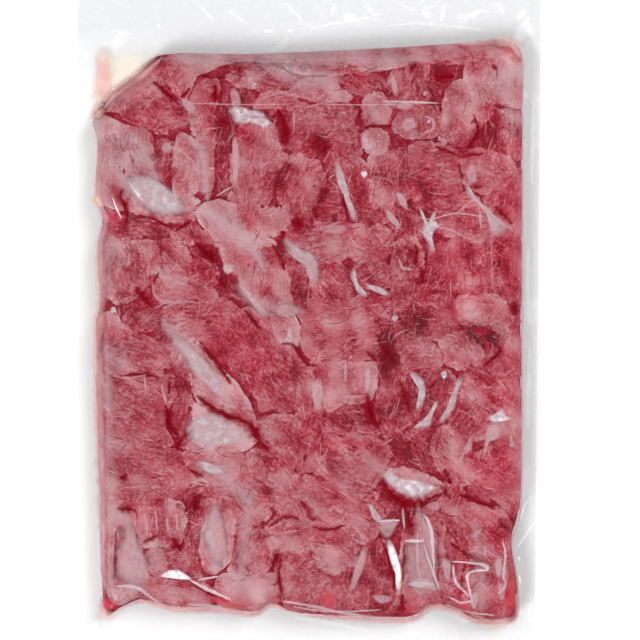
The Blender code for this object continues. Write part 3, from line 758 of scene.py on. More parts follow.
def slice_rings(one):
    """The rings of a slice from the middle of its underside over the rim to the top, and their marks."""
    turns = np.linspace(-math.pi, math.pi, SLICE_SIDES, endpoint=False)
    radii = one.radius(turns)
    cos, sin = math.cos(math.radians(one.grain)), math.sin(math.radians(one.grain))
    rings, tones, rims, fibres, freshness = [], [], [], [], []
    for top, shares in ((False, UNDER_SHARES), (True, TOP_SHARES)):
        for share in shares:
            x = one.middle[0] + radii * share * np.cos(turns)
            y = one.middle[1] + radii * share * np.sin(turns)
            pull = np.minimum(1, SLICE_REACH * block_radius(x, y) / np.maximum(np.hypot(x, y), TINY))
            x, y = x * pull, y * pull
            z = one.height(x, y, np.full_like(x, share))
            if not top:
                z = np.minimum(one.height(x, y, np.ones_like(x)), z) - SLICE_THICKNESS * (1 - share**4)
                z = np.maximum(z, SLICE_FLOOR)
            rings.append(np.column_stack([x, y, z]))
            shift = sum(size * waves(x, y, length, seed) for size, length, seed in TONE_DRIFTS)
            # Painted light: paler along both rolled sides, and brighter red along the right one.
            paler, fresher = (np.interp(x, BORDER_X, knots) for knots in (BORDER_PAINTED_LIGHT, BORDER_FRESHNESS_AND_LIGHT))
            tones.append(one.tone + shift + spotted(x, y, 3) + paler)
            freshness.append(spotted(x, y, 4) + HUE_SPREAD * one.hue + fresher)
            outward = np.hypot(x, y) / block_radius(x, y)
            outer = np.clip((outward - BLOCK_RIM_START) * BLOCK_RIM_RISE, 0, BLOCK_RIM_MOST)
            rims.append(np.maximum(radii * (1 - share) / RIM_REACH, outer) if top else outer)
            dx, dy = x - one.middle[0], y - one.middle[1]
            fibres.append(np.column_stack([
                dx * cos + dy * sin + GRAIN_APART * one.number, dy * cos - dx * sin, z]))
    return rings, {"tone": tones, "rim": rims, "fibre": fibres, "fresh": freshness}


print("rings in a slice:", len(UNDER_SHARES) + len(TOP_SHARES))

# %% Build the slices, in rows and from left to right
ROWS = (75, 0, -75, -200)


def build_slices(name, chosen):
    """One piece of the meat's face: all of the chosen slices."""
    builder = new_builder(**SLICE_MARKS)
    for one in chosen:
        wrap_rings(builder, *slice_rings(one))
    return finish_piece(name, builder, beef)


for row in range(len(ROWS)):
    for column, side in enumerate(("left", "right")):
        chosen = [one for one in slices if (one.middle[0] >= 0) == bool(column)
                  and sum(one.middle[1] < limit for limit in ROWS) == row]
        build_slices(f"beef_row_{row + 1}_{side}", chosen)

# %% [markdown]
# ## The meat beneath
# Under the top slices lies more of the same, and only its rolled side and its underside ever show. One
# solid core stands for it. Its wall is pushed in and out in flat layers, as a stack of slices looks from
# the side.

# %% The core's section
CORE_SIDES = 360
CORE_INSET = 0.99
ROLL_STEPS = 12
FLOOR_SHARES = (0.0, 0.2, 0.4, 0.6, 0.75, 0.88)
CROWN_SHARES = (0.82, 0.7, 0.55, 0.35, 0.15, 0.0)


def core_section():
    """Shares of the outline and heights, from the middle of the underside, up the wall and in again."""
    spans = [(share, MEAT_FLOOR) for share in FLOOR_SHARES]
    for step in range(ROLL_STEPS + 1):
        turn = math.pi / 2 * step / ROLL_STEPS
        spans.append((1 - FOOT_ROLL / BLOCK_HALF_WIDTH * (1 - math.sin(turn)),
                      MARGIN_ROOT_HEIGHT - (MARGIN_ROOT_HEIGHT - MEAT_FLOOR) * math.cos(turn)))
    for step in range(1, ROLL_STEPS + 1):
        turn = math.pi / 2 * step / ROLL_STEPS
        spans.append((1 - TOP_ROLL / BLOCK_HALF_WIDTH * (1 - math.cos(turn)),
                      MARGIN_ROOT_HEIGHT + (CORE_TOP - MARGIN_ROOT_HEIGHT) * math.sin(turn)))
    return spans + [(share, CORE_TOP) for share in CROWN_SHARES]


print("rings in the core:", len(core_section()))

# %% The core
LAYER_PITCH = 1.25
LAYER_WANDER = 1.6
LAYER_DENT, LAYER_TONE = 0.5, 0.2
FOLD_DENT = 0.4
WANDERS, RIPPLES, FOLDS = 11, 29, 47
WALL_START = 0.85
WALL_SLACK = 0.004
CORE_TONE = 0.3
CORE_RIM = 0.5
CORE_WAVES = ((0.16, 22, 71), (0.4, 30, 72))
GRAIN_RUN = 1000
GRAIN_SLANT = 0.4
GRAIN_SHEAR = 3


def core_rings():
    """The core's rings, pushed in and out in layers along the wall, and their marks."""
    ring = curve_through(MEAT_OUTLINE, CORE_SIDES, closed=True) * CORE_INSET
    rings, tones, rims, fibres, freshness = [], [], [], [], []
    bearing = np.arctan2(ring[:, 1], ring[:, 0])
    run = np.linspace(0, 1, CORE_SIDES, endpoint=False) * GRAIN_RUN
    for share, z in core_section():
        phase = z * LAYER_PITCH + LAYER_WANDER * np.sin(bearing * WANDERS)
        layered = np.sin(phase + np.sin(bearing * RIPPLES))
        push = LAYER_DENT * layered + FOLD_DENT * np.sin(bearing * FOLDS + z)
        dent = push * (share > WALL_START) / BLOCK_HALF_WIDTH
        spot = ring * (share + dent[:, None] - WALL_SLACK)
        rings.append(np.column_stack([spot, np.full(CORE_SIDES, z)]))
        paler, fresher = (size * waves(spot[:, 0], spot[:, 1] + GRAIN_SHEAR * z, length, seed)
                          for size, length, seed in CORE_WAVES)
        tones.append(CORE_TONE + LAYER_TONE * layered + paler)
        rims.append(np.full(CORE_SIDES, CORE_RIM))
        freshness.append(fresher)
        slanted = spot.sum(axis=1) * GRAIN_SLANT + GRAIN_SHEAR * z
        fibres.append(np.column_stack([run + z, slanted, np.full(CORE_SIDES, z)]))
    return rings, {"tone": tones, "rim": rims, "fibre": fibres, "fresh": freshness}


core_builder = new_builder(**SLICE_MARKS)
wrap_rings(core_builder, *core_rings())
finish_piece("beef_core", core_builder, beef)

# %% [markdown]
# ## Clear film
# The pouch is a laminate of nylon and polyethylene. It is clear and glossy, and where it isn't wetted by
# juice it looks a little milky. A thin sheet like this shows mostly by its gloss, so it is nearly
# see-through, and a haze attribute says where it is milkier and greyer. In the top and right margins, which
# lie in the slab's shade, that grey is partly painted shade. Its IOR is set above the real one, so that a
# film this thin still shows its gloss in the render.

# %% Clear film
CRINKLE_SIZE = 6.0
MILK_SIZE = 22.0


def clear_film():
    """Clear laminate: almost see-through, with a sharp gloss, and milky in its margins."""
    film = new_material("clear_film")
    haze_and_shade = add_node(film, "Attribute", attribute_name="haze_and_shade").outputs["Fac"]
    place = add_node(film, "TexCoord").outputs["Object"]
    crinkle = add_node(film, "TexNoise", {
        "Vector": place, "Scale": 1 / (CRINKLE_SIZE * MM), "Detail": 3.0, "Roughness": 0.55,
        "Distortion": 0.4})
    relief = add_node(film, "Bump", {"Height": crinkle, "Strength": 0.35, "Distance": 0.0008})
    cloud = add_node(film, "TexNoise", {
        "Vector": place, "Scale": 1 / (MILK_SIZE * MM), "Detail": 4.0, "Roughness": 0.55,
        "Distortion": 1.2})
    share = add_node(film, "MapRange", (cloud, 0.3, 0.7, 0.7, 1.3))
    alpha = add_node(film, "Math", (haze_and_shade, share), operation="MULTIPLY")
    colour = add_node(film, "ValToRGB", (cloud,), stops=(
        (0.3, "#B6B8BC"), (0.6, "#CACBCE"), (0.72, "#EEEFF0")))
    shader = add_node(film, "BsdfPrincipled", {
        "Base Color": colour, "Roughness": 0.12, "IOR": 1.9, "Alpha": alpha,
        "Normal": relief})
    add_node(film, "OutputMaterial", (shader,))
    return film


film_material = clear_film()
print("material:", film_material.name)

# %% [markdown]
# ## The pouch
# Vacuum draws the film down on to the meat, but it is too stiff to follow each narrow gap, so it bridges
# them. A grid is dropped over the slices: each of its points takes the height of the meat below, and
# smoothing what it finds makes the bridges. Beyond the meat it falls to the sealed edge, and the lower film
# closes the bag.

# %% The meat's top on a grid
FILM_COLUMNS = 200
FILM_ROWS = 280
FILM_CLEARANCE = 0.16


def soften(field, spread):
    """A field smoothed by a bell curve of the given spread, in grid steps."""
    taps = np.arange(-int(3 * spread) - 1, int(3 * spread) + 2)
    bell = np.exp(-0.5 * (taps / spread) ** 2)
    bell /= bell.sum()
    edge = len(taps) // 2
    padded = np.pad(field, edge, mode="edge")
    rows = sum(weight * padded[i:i + field.shape[0]] for i, weight in enumerate(bell))
    return sum(weight * rows[:, i:i + field.shape[1]] for i, weight in enumerate(bell))


film_x, film_y = np.meshgrid(np.linspace(-1, 1, FILM_COLUMNS + 1), np.linspace(-1, 1, FILM_ROWS + 1))
film_y = film_y * POUCH_LENGTH / 2
pulled_in = POUCH_PULLED_IN * (0.5 - film_y / POUCH_LENGTH)
film_x = film_x * POUCH_WIDTH / 2 - np.where(film_x > 0, film_x * pulled_in, 0)
inside = np.hypot(film_x, film_y) < block_radius(film_x, film_y)
bare_top = rolled(CORE_TOP, film_x, film_y)
meat_top = bare_top.copy()
for one in slices:
    share = one.share(film_x, film_y)
    near = (share <= 1) & inside
    heights = one.height(film_x[near], film_y[near], share[near])
    meat_top[near] = np.maximum(meat_top[near], heights)
print("meat top:", meat_top[inside].min().round(1), "to", meat_top.max().round(1), "mm")

# %% Lay the film
FILM_STEP = POUCH_LENGTH / FILM_ROWS
BRIDGE_SPREAD = 2.5
CREST_SPREAD = 0.9
bridges = np.maximum(meat_top, soften(meat_top, BRIDGE_SPREAD / FILM_STEP))
bridged = np.maximum(meat_top, soften(bridges, CREST_SPREAD / FILM_STEP))
film_top = np.where(inside, bridged, margin_height(film_x, film_y)) + FILM_CLEARANCE
print("film top:", film_top.max().round(1), "mm")

# %% Where the film is milky
# The haze is given along the pouch, up a slightly slanted line, and once more towards its right side.
# It is greyest along the top and on the right, in the slab's shade, so there it is partly painted shade.
CLEAR = 0.005
TOP_SLANT = 0.035
HAZE_ALONG = ((-165, 0.16), (-152, CLEAR), (128, CLEAR), (144, 0.2), (154, 0.2), (162, 0.29))
HAZE_ACROSS = ((95, CLEAR), (108, 0.18))
haze_and_shade = np.interp(film_y - TOP_SLANT * film_x, *zip(*HAZE_ALONG))
haze_and_shade = np.maximum(haze_and_shade, np.interp(film_x, *zip(*HAZE_ACROSS)))
haze_and_shade = np.where(inside, CLEAR, haze_and_shade)
print("haze:", haze_and_shade.min(), "to", haze_and_shade.max().round(2))

# %% Build the pouch
# Each step round the sealed edge and under the meat: the place between the meat's outline (0) and the cut
# edge (1), the share of the distance to it, and the height.
FILM_UNDERSIDE = (
    (1, 1, 0.3), (0.5, 1, 0.7), (0.05, 1, 4.6), (0, 0.99, 2.6), (0, 0.975, 1.0),
    (0, 1 - FOOT_ROLL / BLOCK_HALF_WIDTH, 0.1), (0, 0.6, 0.02),
)


def build_film():
    """The upper film from the grid, then its rim grown down and in to make the lower one."""
    builder = new_builder(floats=("haze_and_shade",))
    layer = builder.verts.layers.float["haze_and_shade"]
    made = bmesh.ops.create_grid(builder, x_segments=FILM_COLUMNS, y_segments=FILM_ROWS, size=1)["verts"]
    spots = zip(made, film_x.ravel(), film_y.ravel(), film_top.ravel(), haze_and_shade.ravel())
    for vert, x, y, z, milky in spots:
        vert.co = (x, y, z)
        vert[layer] = milky
    rim = [edge for edge in builder.edges if edge.is_boundary]
    for outward, share, z in FILM_UNDERSIDE:
        rim, verts = grow_rim(builder, rim)
        for vert in verts:
            x, y = vert.co.x, vert.co.y
            far = math.hypot(x, y)
            inner = float(block_radius(x, y))
            outer = float(pouch_radius(x, y))
            reach = (inner + (outer - inner) * outward) * share
            vert.co = (x / far * reach, y / far * reach, z)
    bmesh.ops.contextual_create(builder, geom=rim)
    return finish_piece("clear_pouch", builder, film_material, shades=False)


pouch = build_film()
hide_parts("vacuum_pouch")

# %% [markdown]
# ## Thin lenses on the film
# Between the meat and the film lie three things: dark juice in the gaps between slices, flat pockets of air
# where the film stands off the meat and looks pale, and fine creases in the film itself. The widest,
# faintest juice is partly painted shade, the whitest pockets are painted glare, and the creases are coloured
# as painted highlights. All are thin lenses, most of them long. One helper lays such a strip along a curve
# on the film, as a closed skin over small oval rings, and a second lays a patch over an outline. Both mark
# how strong the lens is, and how far in from its edge each point lies, so that a material can fade it out.

# %% Heights on the film
def film_height(x, y):
    """The film's height at any place over the pouch, read between the points of its grid."""
    side = POUCH_WIDTH / 2 - np.where(x > 0, POUCH_PULLED_IN * (0.5 - y / POUCH_LENGTH), 0)
    u = np.clip((x / side + 1) / 2 * FILM_COLUMNS, 0, FILM_COLUMNS - TINY)
    v = np.clip((y / POUCH_LENGTH + 0.5) * FILM_ROWS, 0, FILM_ROWS - TINY)
    i, j = v.astype(int), u.astype(int)
    a, b = v - i, u - j
    low = film_top[i, j] * (1 - b) + film_top[i, j + 1] * b
    high = film_top[i + 1, j] * (1 - b) + film_top[i + 1, j + 1] * b
    return low * (1 - a) + high * a


print("film height over the middle:", film_height(np.zeros(1), np.zeros(1)).round(2), "mm")

# %% One strip
STRIP_STEP = 1.1
FEWEST_STEPS = 9
STRIP_SECTION = np.linspace(0, 2 * math.pi, 12, endpoint=False)
DAB = ((-0.35, -0.4), (0, 0), (0.3, 0.45))
WOBBLE_LENGTH = 5.5
SIDES_APART = 50.0
END_RISE, END_LEAST = 4, 0.02


def lay_strip(builder, line, lift, thickness, seed, waver=0.22, blunt=0.5, section=STRIP_SECTION,
              steps=None):
    """A closed lens along a curve on the film. line holds a strength, a width and points, each of which
    may give its own width as a third number. A single point makes a short dab."""
    strength, width, points = line[0], line[1], line[2:]
    if len(points) == 1:
        points = [(points[0][0] + x * width, points[0][1] + y * width) for x, y in DAB]
    knots = np.array([point[:2] for point in points], float)
    widths = np.array([point[2] if len(point) > 2 else width for point in points], float)
    run = np.concatenate([[0], np.cumsum(np.linalg.norm(np.diff(knots, axis=0), axis=1))])
    count = steps or max(FEWEST_STEPS, int(run[-1] / STRIP_STEP) + 3)
    spine = curve_through(knots, count, closed=False)
    t = np.linspace(0, 1, count)
    half = np.interp(t, run / run[-1], widths) / 2 * np.sin(math.pi * t) ** blunt
    ahead = np.gradient(spine, axis=0)
    ahead /= np.linalg.norm(ahead, axis=1)[:, None]
    beside = np.column_stack([-ahead[:, 1], ahead[:, 0]])
    across = np.cos(section)
    rings, strengths, insets = [], [], []
    for k in range(count):
        places = run[-1] * t[k] + SIDES_APART * np.sign(across)
        wobble = 1 + waver * waves(places, np.zeros(len(section)), WOBBLE_LENGTH, seed)
        spot = spine[k] + (across * half[k] * wobble)[:, None] * beside[k]
        z = film_height(spot[:, 0], spot[:, 1]) + lift + thickness * np.sin(section) * min(1, half[k])
        rings.append(np.column_stack([spot, z]))
        strengths.append(np.full(len(section), strength))
        insets.append((1 - np.abs(across)) * min(1.0, END_RISE * math.sin(math.pi * t[k]) + END_LEAST))
    wrap_rings(builder, rings, {"strength": strengths, "inset": insets})


print("strip steps:", STRIP_STEP, "mm")

# %% One patch
PATCH_SHARES = (1.0, 0.95, 0.88, 0.8, 0.7, 0.6, 0.5, 0.4, 0.3, 0.2, 0.1, 0.0)
PATCH_SIDES = 40


def lay_patch(builder, line, lift, thickness):
    """A closed lens over an outline on the film. line holds a strength and the outline's points."""
    ring = curve_through(line[1:], PATCH_SIDES, closed=True)
    middle = ring.mean(axis=0)
    rings, strengths, insets = [], [], []
    for side, shares in ((-1, PATCH_SHARES[::-1]), (1, PATCH_SHARES[1:])):
        for share in shares:
            spot = middle + (ring - middle) * share
            z = film_height(spot[:, 0], spot[:, 1]) + lift + side * thickness * (1 - share**2)
            rings.append(np.column_stack([spot, z]))
            strengths.append(np.full(PATCH_SIDES, line[0]))
            insets.append(np.full(PATCH_SIDES, 1 - share))
    wrap_rings(builder, rings, {"strength": strengths, "inset": insets})


def lay_lenses(name, material, slot, lift, thickness, lines=(), patches=(), **shape):
    """One piece of strips and patches. lift and thickness are in millimetres, from the film's height."""
    builder = new_builder(floats=("strength", "inset"))
    for number, line in enumerate(lines):
        lay_strip(builder, line, lift, thickness, seed=number, **shape)
    for line in patches:
        lay_patch(builder, line, lift, thickness)
    return finish_piece(name, builder, material, shades=False)


# %% What the lens materials share
def lens_marks(material):
    """The strength of a lens, the way in from its edge, and the place, for its material to read."""
    strength = add_node(material, "Attribute", attribute_name="strength").outputs["Fac"]
    inset = add_node(material, "Attribute", attribute_name="inset").outputs["Fac"]
    place = add_node(material, "TexCoord").outputs["Object"]
    return strength, inset, place


def finish_lens(material, strength, seen, look):
    """Gives a lens its look. It covers what is below by its strength, where it is deep enough to be seen."""
    alpha = add_node(material, "Math", (seen, strength), operation="MULTIPLY")
    shader = add_node(material, "BsdfPrincipled", {**look, "Alpha": alpha})
    add_node(material, "OutputMaterial", (shader,))
    return material


# %% [markdown]
# ## The bed of juice
# Wet red meat goes on down between the slices, and juice fills the gaps nearly to the film. The many narrow
# gaps needn't be filled one by one: a single sheet of juice just below the film passes through the slices
# and shows only between them.

# %% Pooled juice
POOL_MOTTLE_SIZE = 3.0


def pooled_juice():
    """Juice that stands deep enough to hide what is under it: wet and dark red, mottled with shreds."""
    pooled = new_material("pooled_juice")
    place = add_node(pooled, "TexCoord").outputs["Object"]
    cloud = add_node(pooled, "TexNoise", {
        "Vector": place, "Scale": 1 / (POOL_MOTTLE_SIZE * MM), "Detail": 5.0, "Roughness": 0.7,
        "Distortion": 0.6})
    colour = add_node(pooled, "ValToRGB", (cloud,), stops=(
        (0.32, "#68081A"), (0.5, "#88182C"), (0.68, "#A63C4A")))
    shader = add_node(pooled, "BsdfPrincipled", {
        "Base Color": colour, "Roughness": 0.3, "Specular IOR Level": 0.06})
    add_node(pooled, "OutputMaterial", (shader,))
    return pooled


# %% Build the bed
BED_COLUMNS, BED_ROWS = 120, 170
BED_DEPTH = 0.5
BED_REACH = 0.99
SKIRT_DROPS = (1.5, 1.5)
SKIRT_SHRINK = 0.985


def build_bed(material):
    """A sheet of juice a little below the film, drawn in to the meat's outline, with a skirt."""
    builder = bmesh.new()
    made = bmesh.ops.create_grid(builder, x_segments=BED_COLUMNS, y_segments=BED_ROWS, size=1)["verts"]
    flat = np.array([vert.co[:2] for vert in made])
    bearing = np.arctan2(flat[:, 1] * BLOCK_HALF_LENGTH, flat[:, 0] * BLOCK_HALF_WIDTH)
    reach = np.interp(bearing, block_turns, block_radii, period=2 * math.pi) * BED_REACH
    share = np.abs(flat).max(axis=1)
    x, y = reach * share * np.cos(bearing), reach * share * np.sin(bearing)
    z = film_height(x, y) - BED_DEPTH
    for vert, spot in zip(made, np.column_stack([x, y, z])):
        vert.co = spot
    rim = [edge for edge in builder.edges if edge.is_boundary]
    for drop in SKIRT_DROPS:
        rim, verts = grow_rim(builder, rim)
        for vert in verts:
            vert.co = (vert.co.x * SKIRT_SHRINK, vert.co.y * SKIRT_SHRINK, vert.co.z - drop)
    bmesh.ops.contextual_create(builder, geom=rim)
    return finish_piece("juice_bed", builder, material)


build_bed(pooled_juice())

# %% [markdown]
# ## Thin juice at the rim
# Juice and loose fat are pressed out to the rim of the meat and into the corners of the bag, from a cream
# of fat in the upper left corner to thin red juice along the foot. They have no outline of their own, so
# they are patches and strips that fade out at their edges, and one material with two shades serves for them
# all.

# %% Thin juice
WEEP_CLOUD_SIZE = 9.0
WATER_IOR = 1.34


def thin_juice(name, thin, thick):
    """Juice with fat in it, caught under the film: cloudy where it is thick, clear where it runs out."""
    weep = new_material(name)
    strength, inset, place = lens_marks(weep)
    cloud = add_node(weep, "TexNoise", {
        "Vector": place, "Scale": 1 / (WEEP_CLOUD_SIZE * MM), "Detail": 3.0})
    depth = add_node(weep, "Math", (inset, 1.6, cloud), operation="MULTIPLY_ADD")
    seen = add_node(weep, "MapRange", (depth, 0.45, 2.0), interpolation_type="SMOOTHSTEP")
    colour = add_node(weep, "ValToRGB", (cloud,), stops=(
        (0.35, thin), (0.65, thick)))
    return finish_lens(weep, strength, seen, {
        "Base Color": colour, "Roughness": 0.2, "IOR": WATER_IOR})


# Loose fat in juice: cream white. With a little blood in it: pink. Over the rolled rim: rose, which is also
# painted light laid over the shade of the rolled shoulder. Nearly pure: a thin, bright red.
cream = thin_juice("cream_juice", "#E6DDCF", "#ECE5DB")
pink = thin_juice("pink_juice", "#E2B0A6", "#EAC8BE")
red = thin_juice("red_juice", "#BA2C40", "#D2525E")
rose_and_painted_light = thin_juice("rose_juice_and_painted_light", "#CC8088", "#DAA4A6")
print("materials:", [one.name for one in (cream, pink, red, rose_and_painted_light)])

# %% Where the thin juice lies
# Each patch is a strength and an outline in millimetres.
CREAM_JUICE = (
    (.9, (-114, 145), (-101, 148), (-90, 148), (-78, 145), (-85.5, 135.5), (-94, 127.5), (-103, 120.5),
     (-109, 114), (-113, 122), (-115, 133)),
)
PINK_JUICE = (
    (.9, (-117, 115), (-105, 113), (-103, 124), (-104, 138), (-107, 147), (-115, 146), (-117, 130)),
    (.7, (-119, 112), (-114, 118), (-108, 115), (-111, 107), (-118, 106)),
    (.8, (-118, 67), (-113, 67), (-109, 61), (-111, 59), (-116, 62)),
    (.35, (86, -157), (98, -160), (112, -158), (116, -164), (102, -168), (88, -166)),
    (.45, (-115, -152), (-106, -155), (-98, -156), (-104, -162), (-115, -162)),
    (.4, (97, 146), (108, 145), (113, 138), (118, 148), (111, 155), (97, 153)),
)
RED_JUICE = (
    (.8, (-113, -149), (-106, -148), (-101, -151), (-101, -155), (-106, -157), (-112, -157)),
    (.5, (-57, -146), (-46, -148), (-38, -152), (-29, -155), (-38, -156), (-50, -153)),
    (.4, (5, -144), (15, -145), (17, -151), (11, -157), (5, -152)),
    (.5, (50, -151), (56, -152), (58, -156), (56, -159), (50, -159)),
    (.8, (104, -139), (110, -134), (113, -148), (112, -159), (107, -160), (103, -150)),
    (.4, (76, -149), (84, -150), (89, -155), (86, -157), (78, -154)),
    (.35, (-117, 111), (-111, 115), (-108, 111), (-113, 107)),
    (.35, (-112, 61), (-104, 58), (-99, 52), (-106, 49), (-112, 53)),
    (.3, (97, 150), (106, 150), (112, 144), (114, 134), (109, 137), (103, 143)),
    (.4, (111, -2), (113, 6), (113.5, 0)),
    (.35, (64, -150), (72, -150), (73, -153), (66, -154)),
)
print("patches of juice:", len(CREAM_JUICE), len(PINK_JUICE), len(RED_JUICE))

# %% The rose rim
# Each strip is a strength, a width, a share of the meat's outline, and the part of the outline it follows.
# The rose strips lie on the rolled shoulder, so their pale rose is partly painted light over its shade.
ROSE_AND_LIGHT_RUNS = (
    (0.45, 1.6, 1.003, MEAT_OUTLINE[:6]),
    (0.5, 6, 1.005, MEAT_OUTLINE[11:16]),
    (0.5, 8, 0.985, MEAT_OUTLINE[15:24]),
    (0.55, 6, 1.0, MEAT_OUTLINE[24:31]),
    (0.55, 6, 1.0, MEAT_OUTLINE[30:]),
    (0.8, 6, 0.985, MEAT_OUTLINE[11:15]),
    (0.5, 5, 0.99, MEAT_OUTLINE[6:9]),
    (0.55, 5, 0.992, ((90, -162), (104, -163), (112, -160), (112, -146))),
)
rose_edges_and_painted_light = [(share, width, *((x * out, y * out) for x, y in run)) for share, width, out, run in ROSE_AND_LIGHT_RUNS]
lay_lenses("cream_juice", cream, "raw_beef", lift=0.7, thickness=0.3, patches=CREAM_JUICE)
lay_lenses("pink_juice", pink, "raw_beef", lift=0.8, thickness=0.2, patches=PINK_JUICE)
lay_lenses("rose_juice_and_painted_light", rose_and_painted_light, "raw_beef", lift=0.75, thickness=0.3, lines=rose_edges_and_painted_light, waver=0.08)
lay_lenses("red_juice", red, "raw_beef", lift=0.12, thickness=0.15, patches=RED_JUICE)

# %% [markdown]
# ## Loose film and trapped air
# Where the film only just touches the meat it has a soft mauve sheen, painted into its colour, and where it
# stands off, the air under it hides the meat's wet red. Light scatters between the film and the dry face
# below, so such a pocket looks pale and a little mottled, and it is drawn as that: a lens in the film, and
# not a hollow under it. The whitest of these lenses are painted glare of the lamps on the film.

# %% Loose film
VEIL_CLOUD_SIZE = 7.0


def loose_film_painted_sheen():
    """Film that only just touches the meat: a soft mauve sheen with no edge, painted into its colour."""
    painted_sheen = new_material("loose_film_painted_sheen")
    strength, inset, place = lens_marks(painted_sheen)
    cloud = add_node(painted_sheen, "TexNoise", {
        "Vector": place, "Scale": 1 / (VEIL_CLOUD_SIZE * MM), "Detail": 4.0, "Roughness": 0.6,
        "Distortion": 0.6})
    depth = add_node(painted_sheen, "Math", (inset, cloud), operation="ADD")
    seen = add_node(painted_sheen, "MapRange", (depth, 0.45, 1.6, 0.0, 0.75), interpolation_type="SMOOTHSTEP")
    return finish_lens(painted_sheen, strength, seen, {"Base Color": srgb("#C4A4AB"), "Roughness": 0.3})


# Each veil is a strength, a width, and the points of its middle line, in millimetres. The veils are milky
# film where it stands a little off the meat, and painted sheen: the broad soft glare of the lamps on the
# film.
PAINTED_SHEEN_VEILS = (
    (.3, 14, (-109, -4), (-108, -40), (-108, -80), (-107, -110), (-106, -152)),
    (.2, 10, (-109, 46), (-108, 8)), (.3, 14, (104, 137), (108, 118), (109, 98)),
    (.25, 10, (-80, 139), (-40, 140), (40, 139), (84, 141)),
    (.4, 15, (-80, 2, 9), (-66, -14, 17), (-52, -30, 12)), (.4, 18, (-66, -58, 10), (-46, -62, 18)),
    (.4, 22, (-104, 80, 12), (-92, 68, 22), (-76, 62, 16), (-60, 58, 8)),
    (.55, 16, (-62, 60, 8), (-44, 52, 16), (-30, 38, 16), (-24, 26, 8)),
    (.5, 9, (-63, 98), (-57, 88), (-54, 62)), (.35, 14, (-50, -96, 8), (-51, -118, 18), (-50, -138, 8)),
    (.35, 14, (-62, -76), (-44, -84), (-30, -100)),
    (.35, 18, (-98, -100, 8), (-96, -124, 16), (-94, -148, 22)),
    (.3, 12, (-30, -90), (-34, -112), (-36, -140)), (.25, 16, (58, -96, 8), (60, -122, 18), (60, -150, 22)),
    (.25, 14, (88, -106), (92, -132), (92, -158)), (.3, 12, (-38, 26), (-30, 10), (0, 4)),
    (.3, 12, (-14, 44), (-4, 36), (6, 22)), (.3, 12, (-90, 96), (-84, 80), (-80, 66)),
    (.25, 14, (-30, 140), (-10, 132), (20, 128)),
)
lay_lenses("loose_film_painted_sheen", loose_film_painted_sheen(), "clear_film", lift=0.0, thickness=0.05, lines=PAINTED_SHEEN_VEILS, waver=0.35)

# %% Trapped air
AIR_MOTTLE_SIZE = 3.5


def trapped_air_and_glare():
    """Air under film: a mottled lilac with a soft edge, pinkish where it is faint; white where strong, which
    is painted glare.
    """
    air = new_material("trapped_air_and_glare")
    strength, inset, place = lens_marks(air)
    mottle = add_node(air, "TexNoise", {
        "Vector": place, "Scale": 1 / (AIR_MOTTLE_SIZE * MM), "Detail": 3.0, "Roughness": 0.6})
    body = add_node(air, "MapRange", (mottle, 0.3, 0.65, 0.68, 1.0))
    edge = add_node(air, "MapRange", (inset, 0.0, 0.5), interpolation_type="SMOOTHSTEP")
    seen = add_node(air, "Math", (body, edge), operation="MULTIPLY")
    uneven = add_node(air, "Math", (mottle, 0.6, -0.15), operation="MULTIPLY_ADD")
    tint = add_node(air, "Math", (strength, 0.8, uneven), operation="MULTIPLY_ADD")
    colour = add_node(air, "ValToRGB", (tint,), stops=(
        (0.45, "#CC969E"), (0.6, "#C69FA6"), (0.75, "#BCA5AB"), (0.87, "#CBBEC4"), (0.96, "#F2EEF1")))
    return finish_lens(air, strength, seen, {"Base Color": colour, "Roughness": 0.3})


air_and_glare_material = trapped_air_and_glare()
print("material:", air_and_glare_material.name)

# %% Narrow pockets of air
# Each entry is a strength, a width, and the points of its middle line, in millimetres.
# The strongest, near-white strips are painted glints of the lamps on the film.
AIR_POCKETS_AND_GLINTS = (
    (.5, 1.8, (61, 109), (66, 107), (66, 102), (61, 100)), (.8, 2, (64, 106)),
    (.5, 1.6, (91, 62), (92, 48)), (.25, 1.4, (97.5, 47), (97.5, 32), (98, 16)),
    (.6, 1.2, (57, 55), (66, 54), (78, 57), (95, 55)), (.5, 1.2, (67, 50), (76, 48), (84, 44)),
    (.5, 1.2, (78, 56), (86, 63), (92, 66)), (.5, 2, (48, 33), (50, 28), (56, 27)), (.8, 3.5, (46, 1)),
    (.5, 1.8, (19.5, -21), (19.5, -33)), (.4, 1.8, (18, -41), (29, -41)), (.5, 1.4, (-88, -29), (-87, -38)),
    (.45, 2, (-79, -34), (-76, -45)), (.4, 1.2, (-105, -30), (-96, -31), (-86, -29)),
    (.7, 1.4, (-110, -45), (-106, -49)), (.5, 1.6, (74, -39), (81, -39)),
    (.5, 1.6, (-71, -103), (-70, -113)), (.5, 1.4, (-72, -98), (-69, -97), (-66, -101)),
    (.6, 1.2, (-50, 66), (-40, 72)), (.45, 1.6, (-76, 93), (-68, 90), (-60, 83)),
    (.9, 2.4, (-96, 74, 1.4), (-92, 68, 2.6), (-88, 63, 2)), (.9, 3.4, (-106, 6), (-103, 5)),
    (.5, 1.4, (-108, 2), (-106, -4)), (.5, 1.4, (-102, 4), (-101, -2)), (.6, 2.4, (62, 121)),
    (.7, 2.2, (-65, -16), (-60, -21)), (.35, 2.6, (-84, 21), (-82, 13), (-76, 9.5), (-60, 10)),
    (.35, 2, (3, -70), (6, -77), (11, -83)), (.5, 1.6, (94, -120), (94, -127)),
    (.3, 2, (-64, -86), (-56, -88)), (.35, 1.6, (24, -110), (30, -118)),
    (.4, 2.2, (-88, -102), (-86, -116)), (.4, 1.8, (-82, -101), (-81, -114)),
    (.5, 2, (-76, -105), (-75, -114)), (.35, 1.5, (-8, 112), (-8, 100)), (.4, 1.4, (-3, 113), (8, 116)),
    (.35, 1.3, (-26, 118), (-14, 121), (0, 118)),
)
print("narrow pockets of air:", len(AIR_POCKETS_AND_GLINTS))
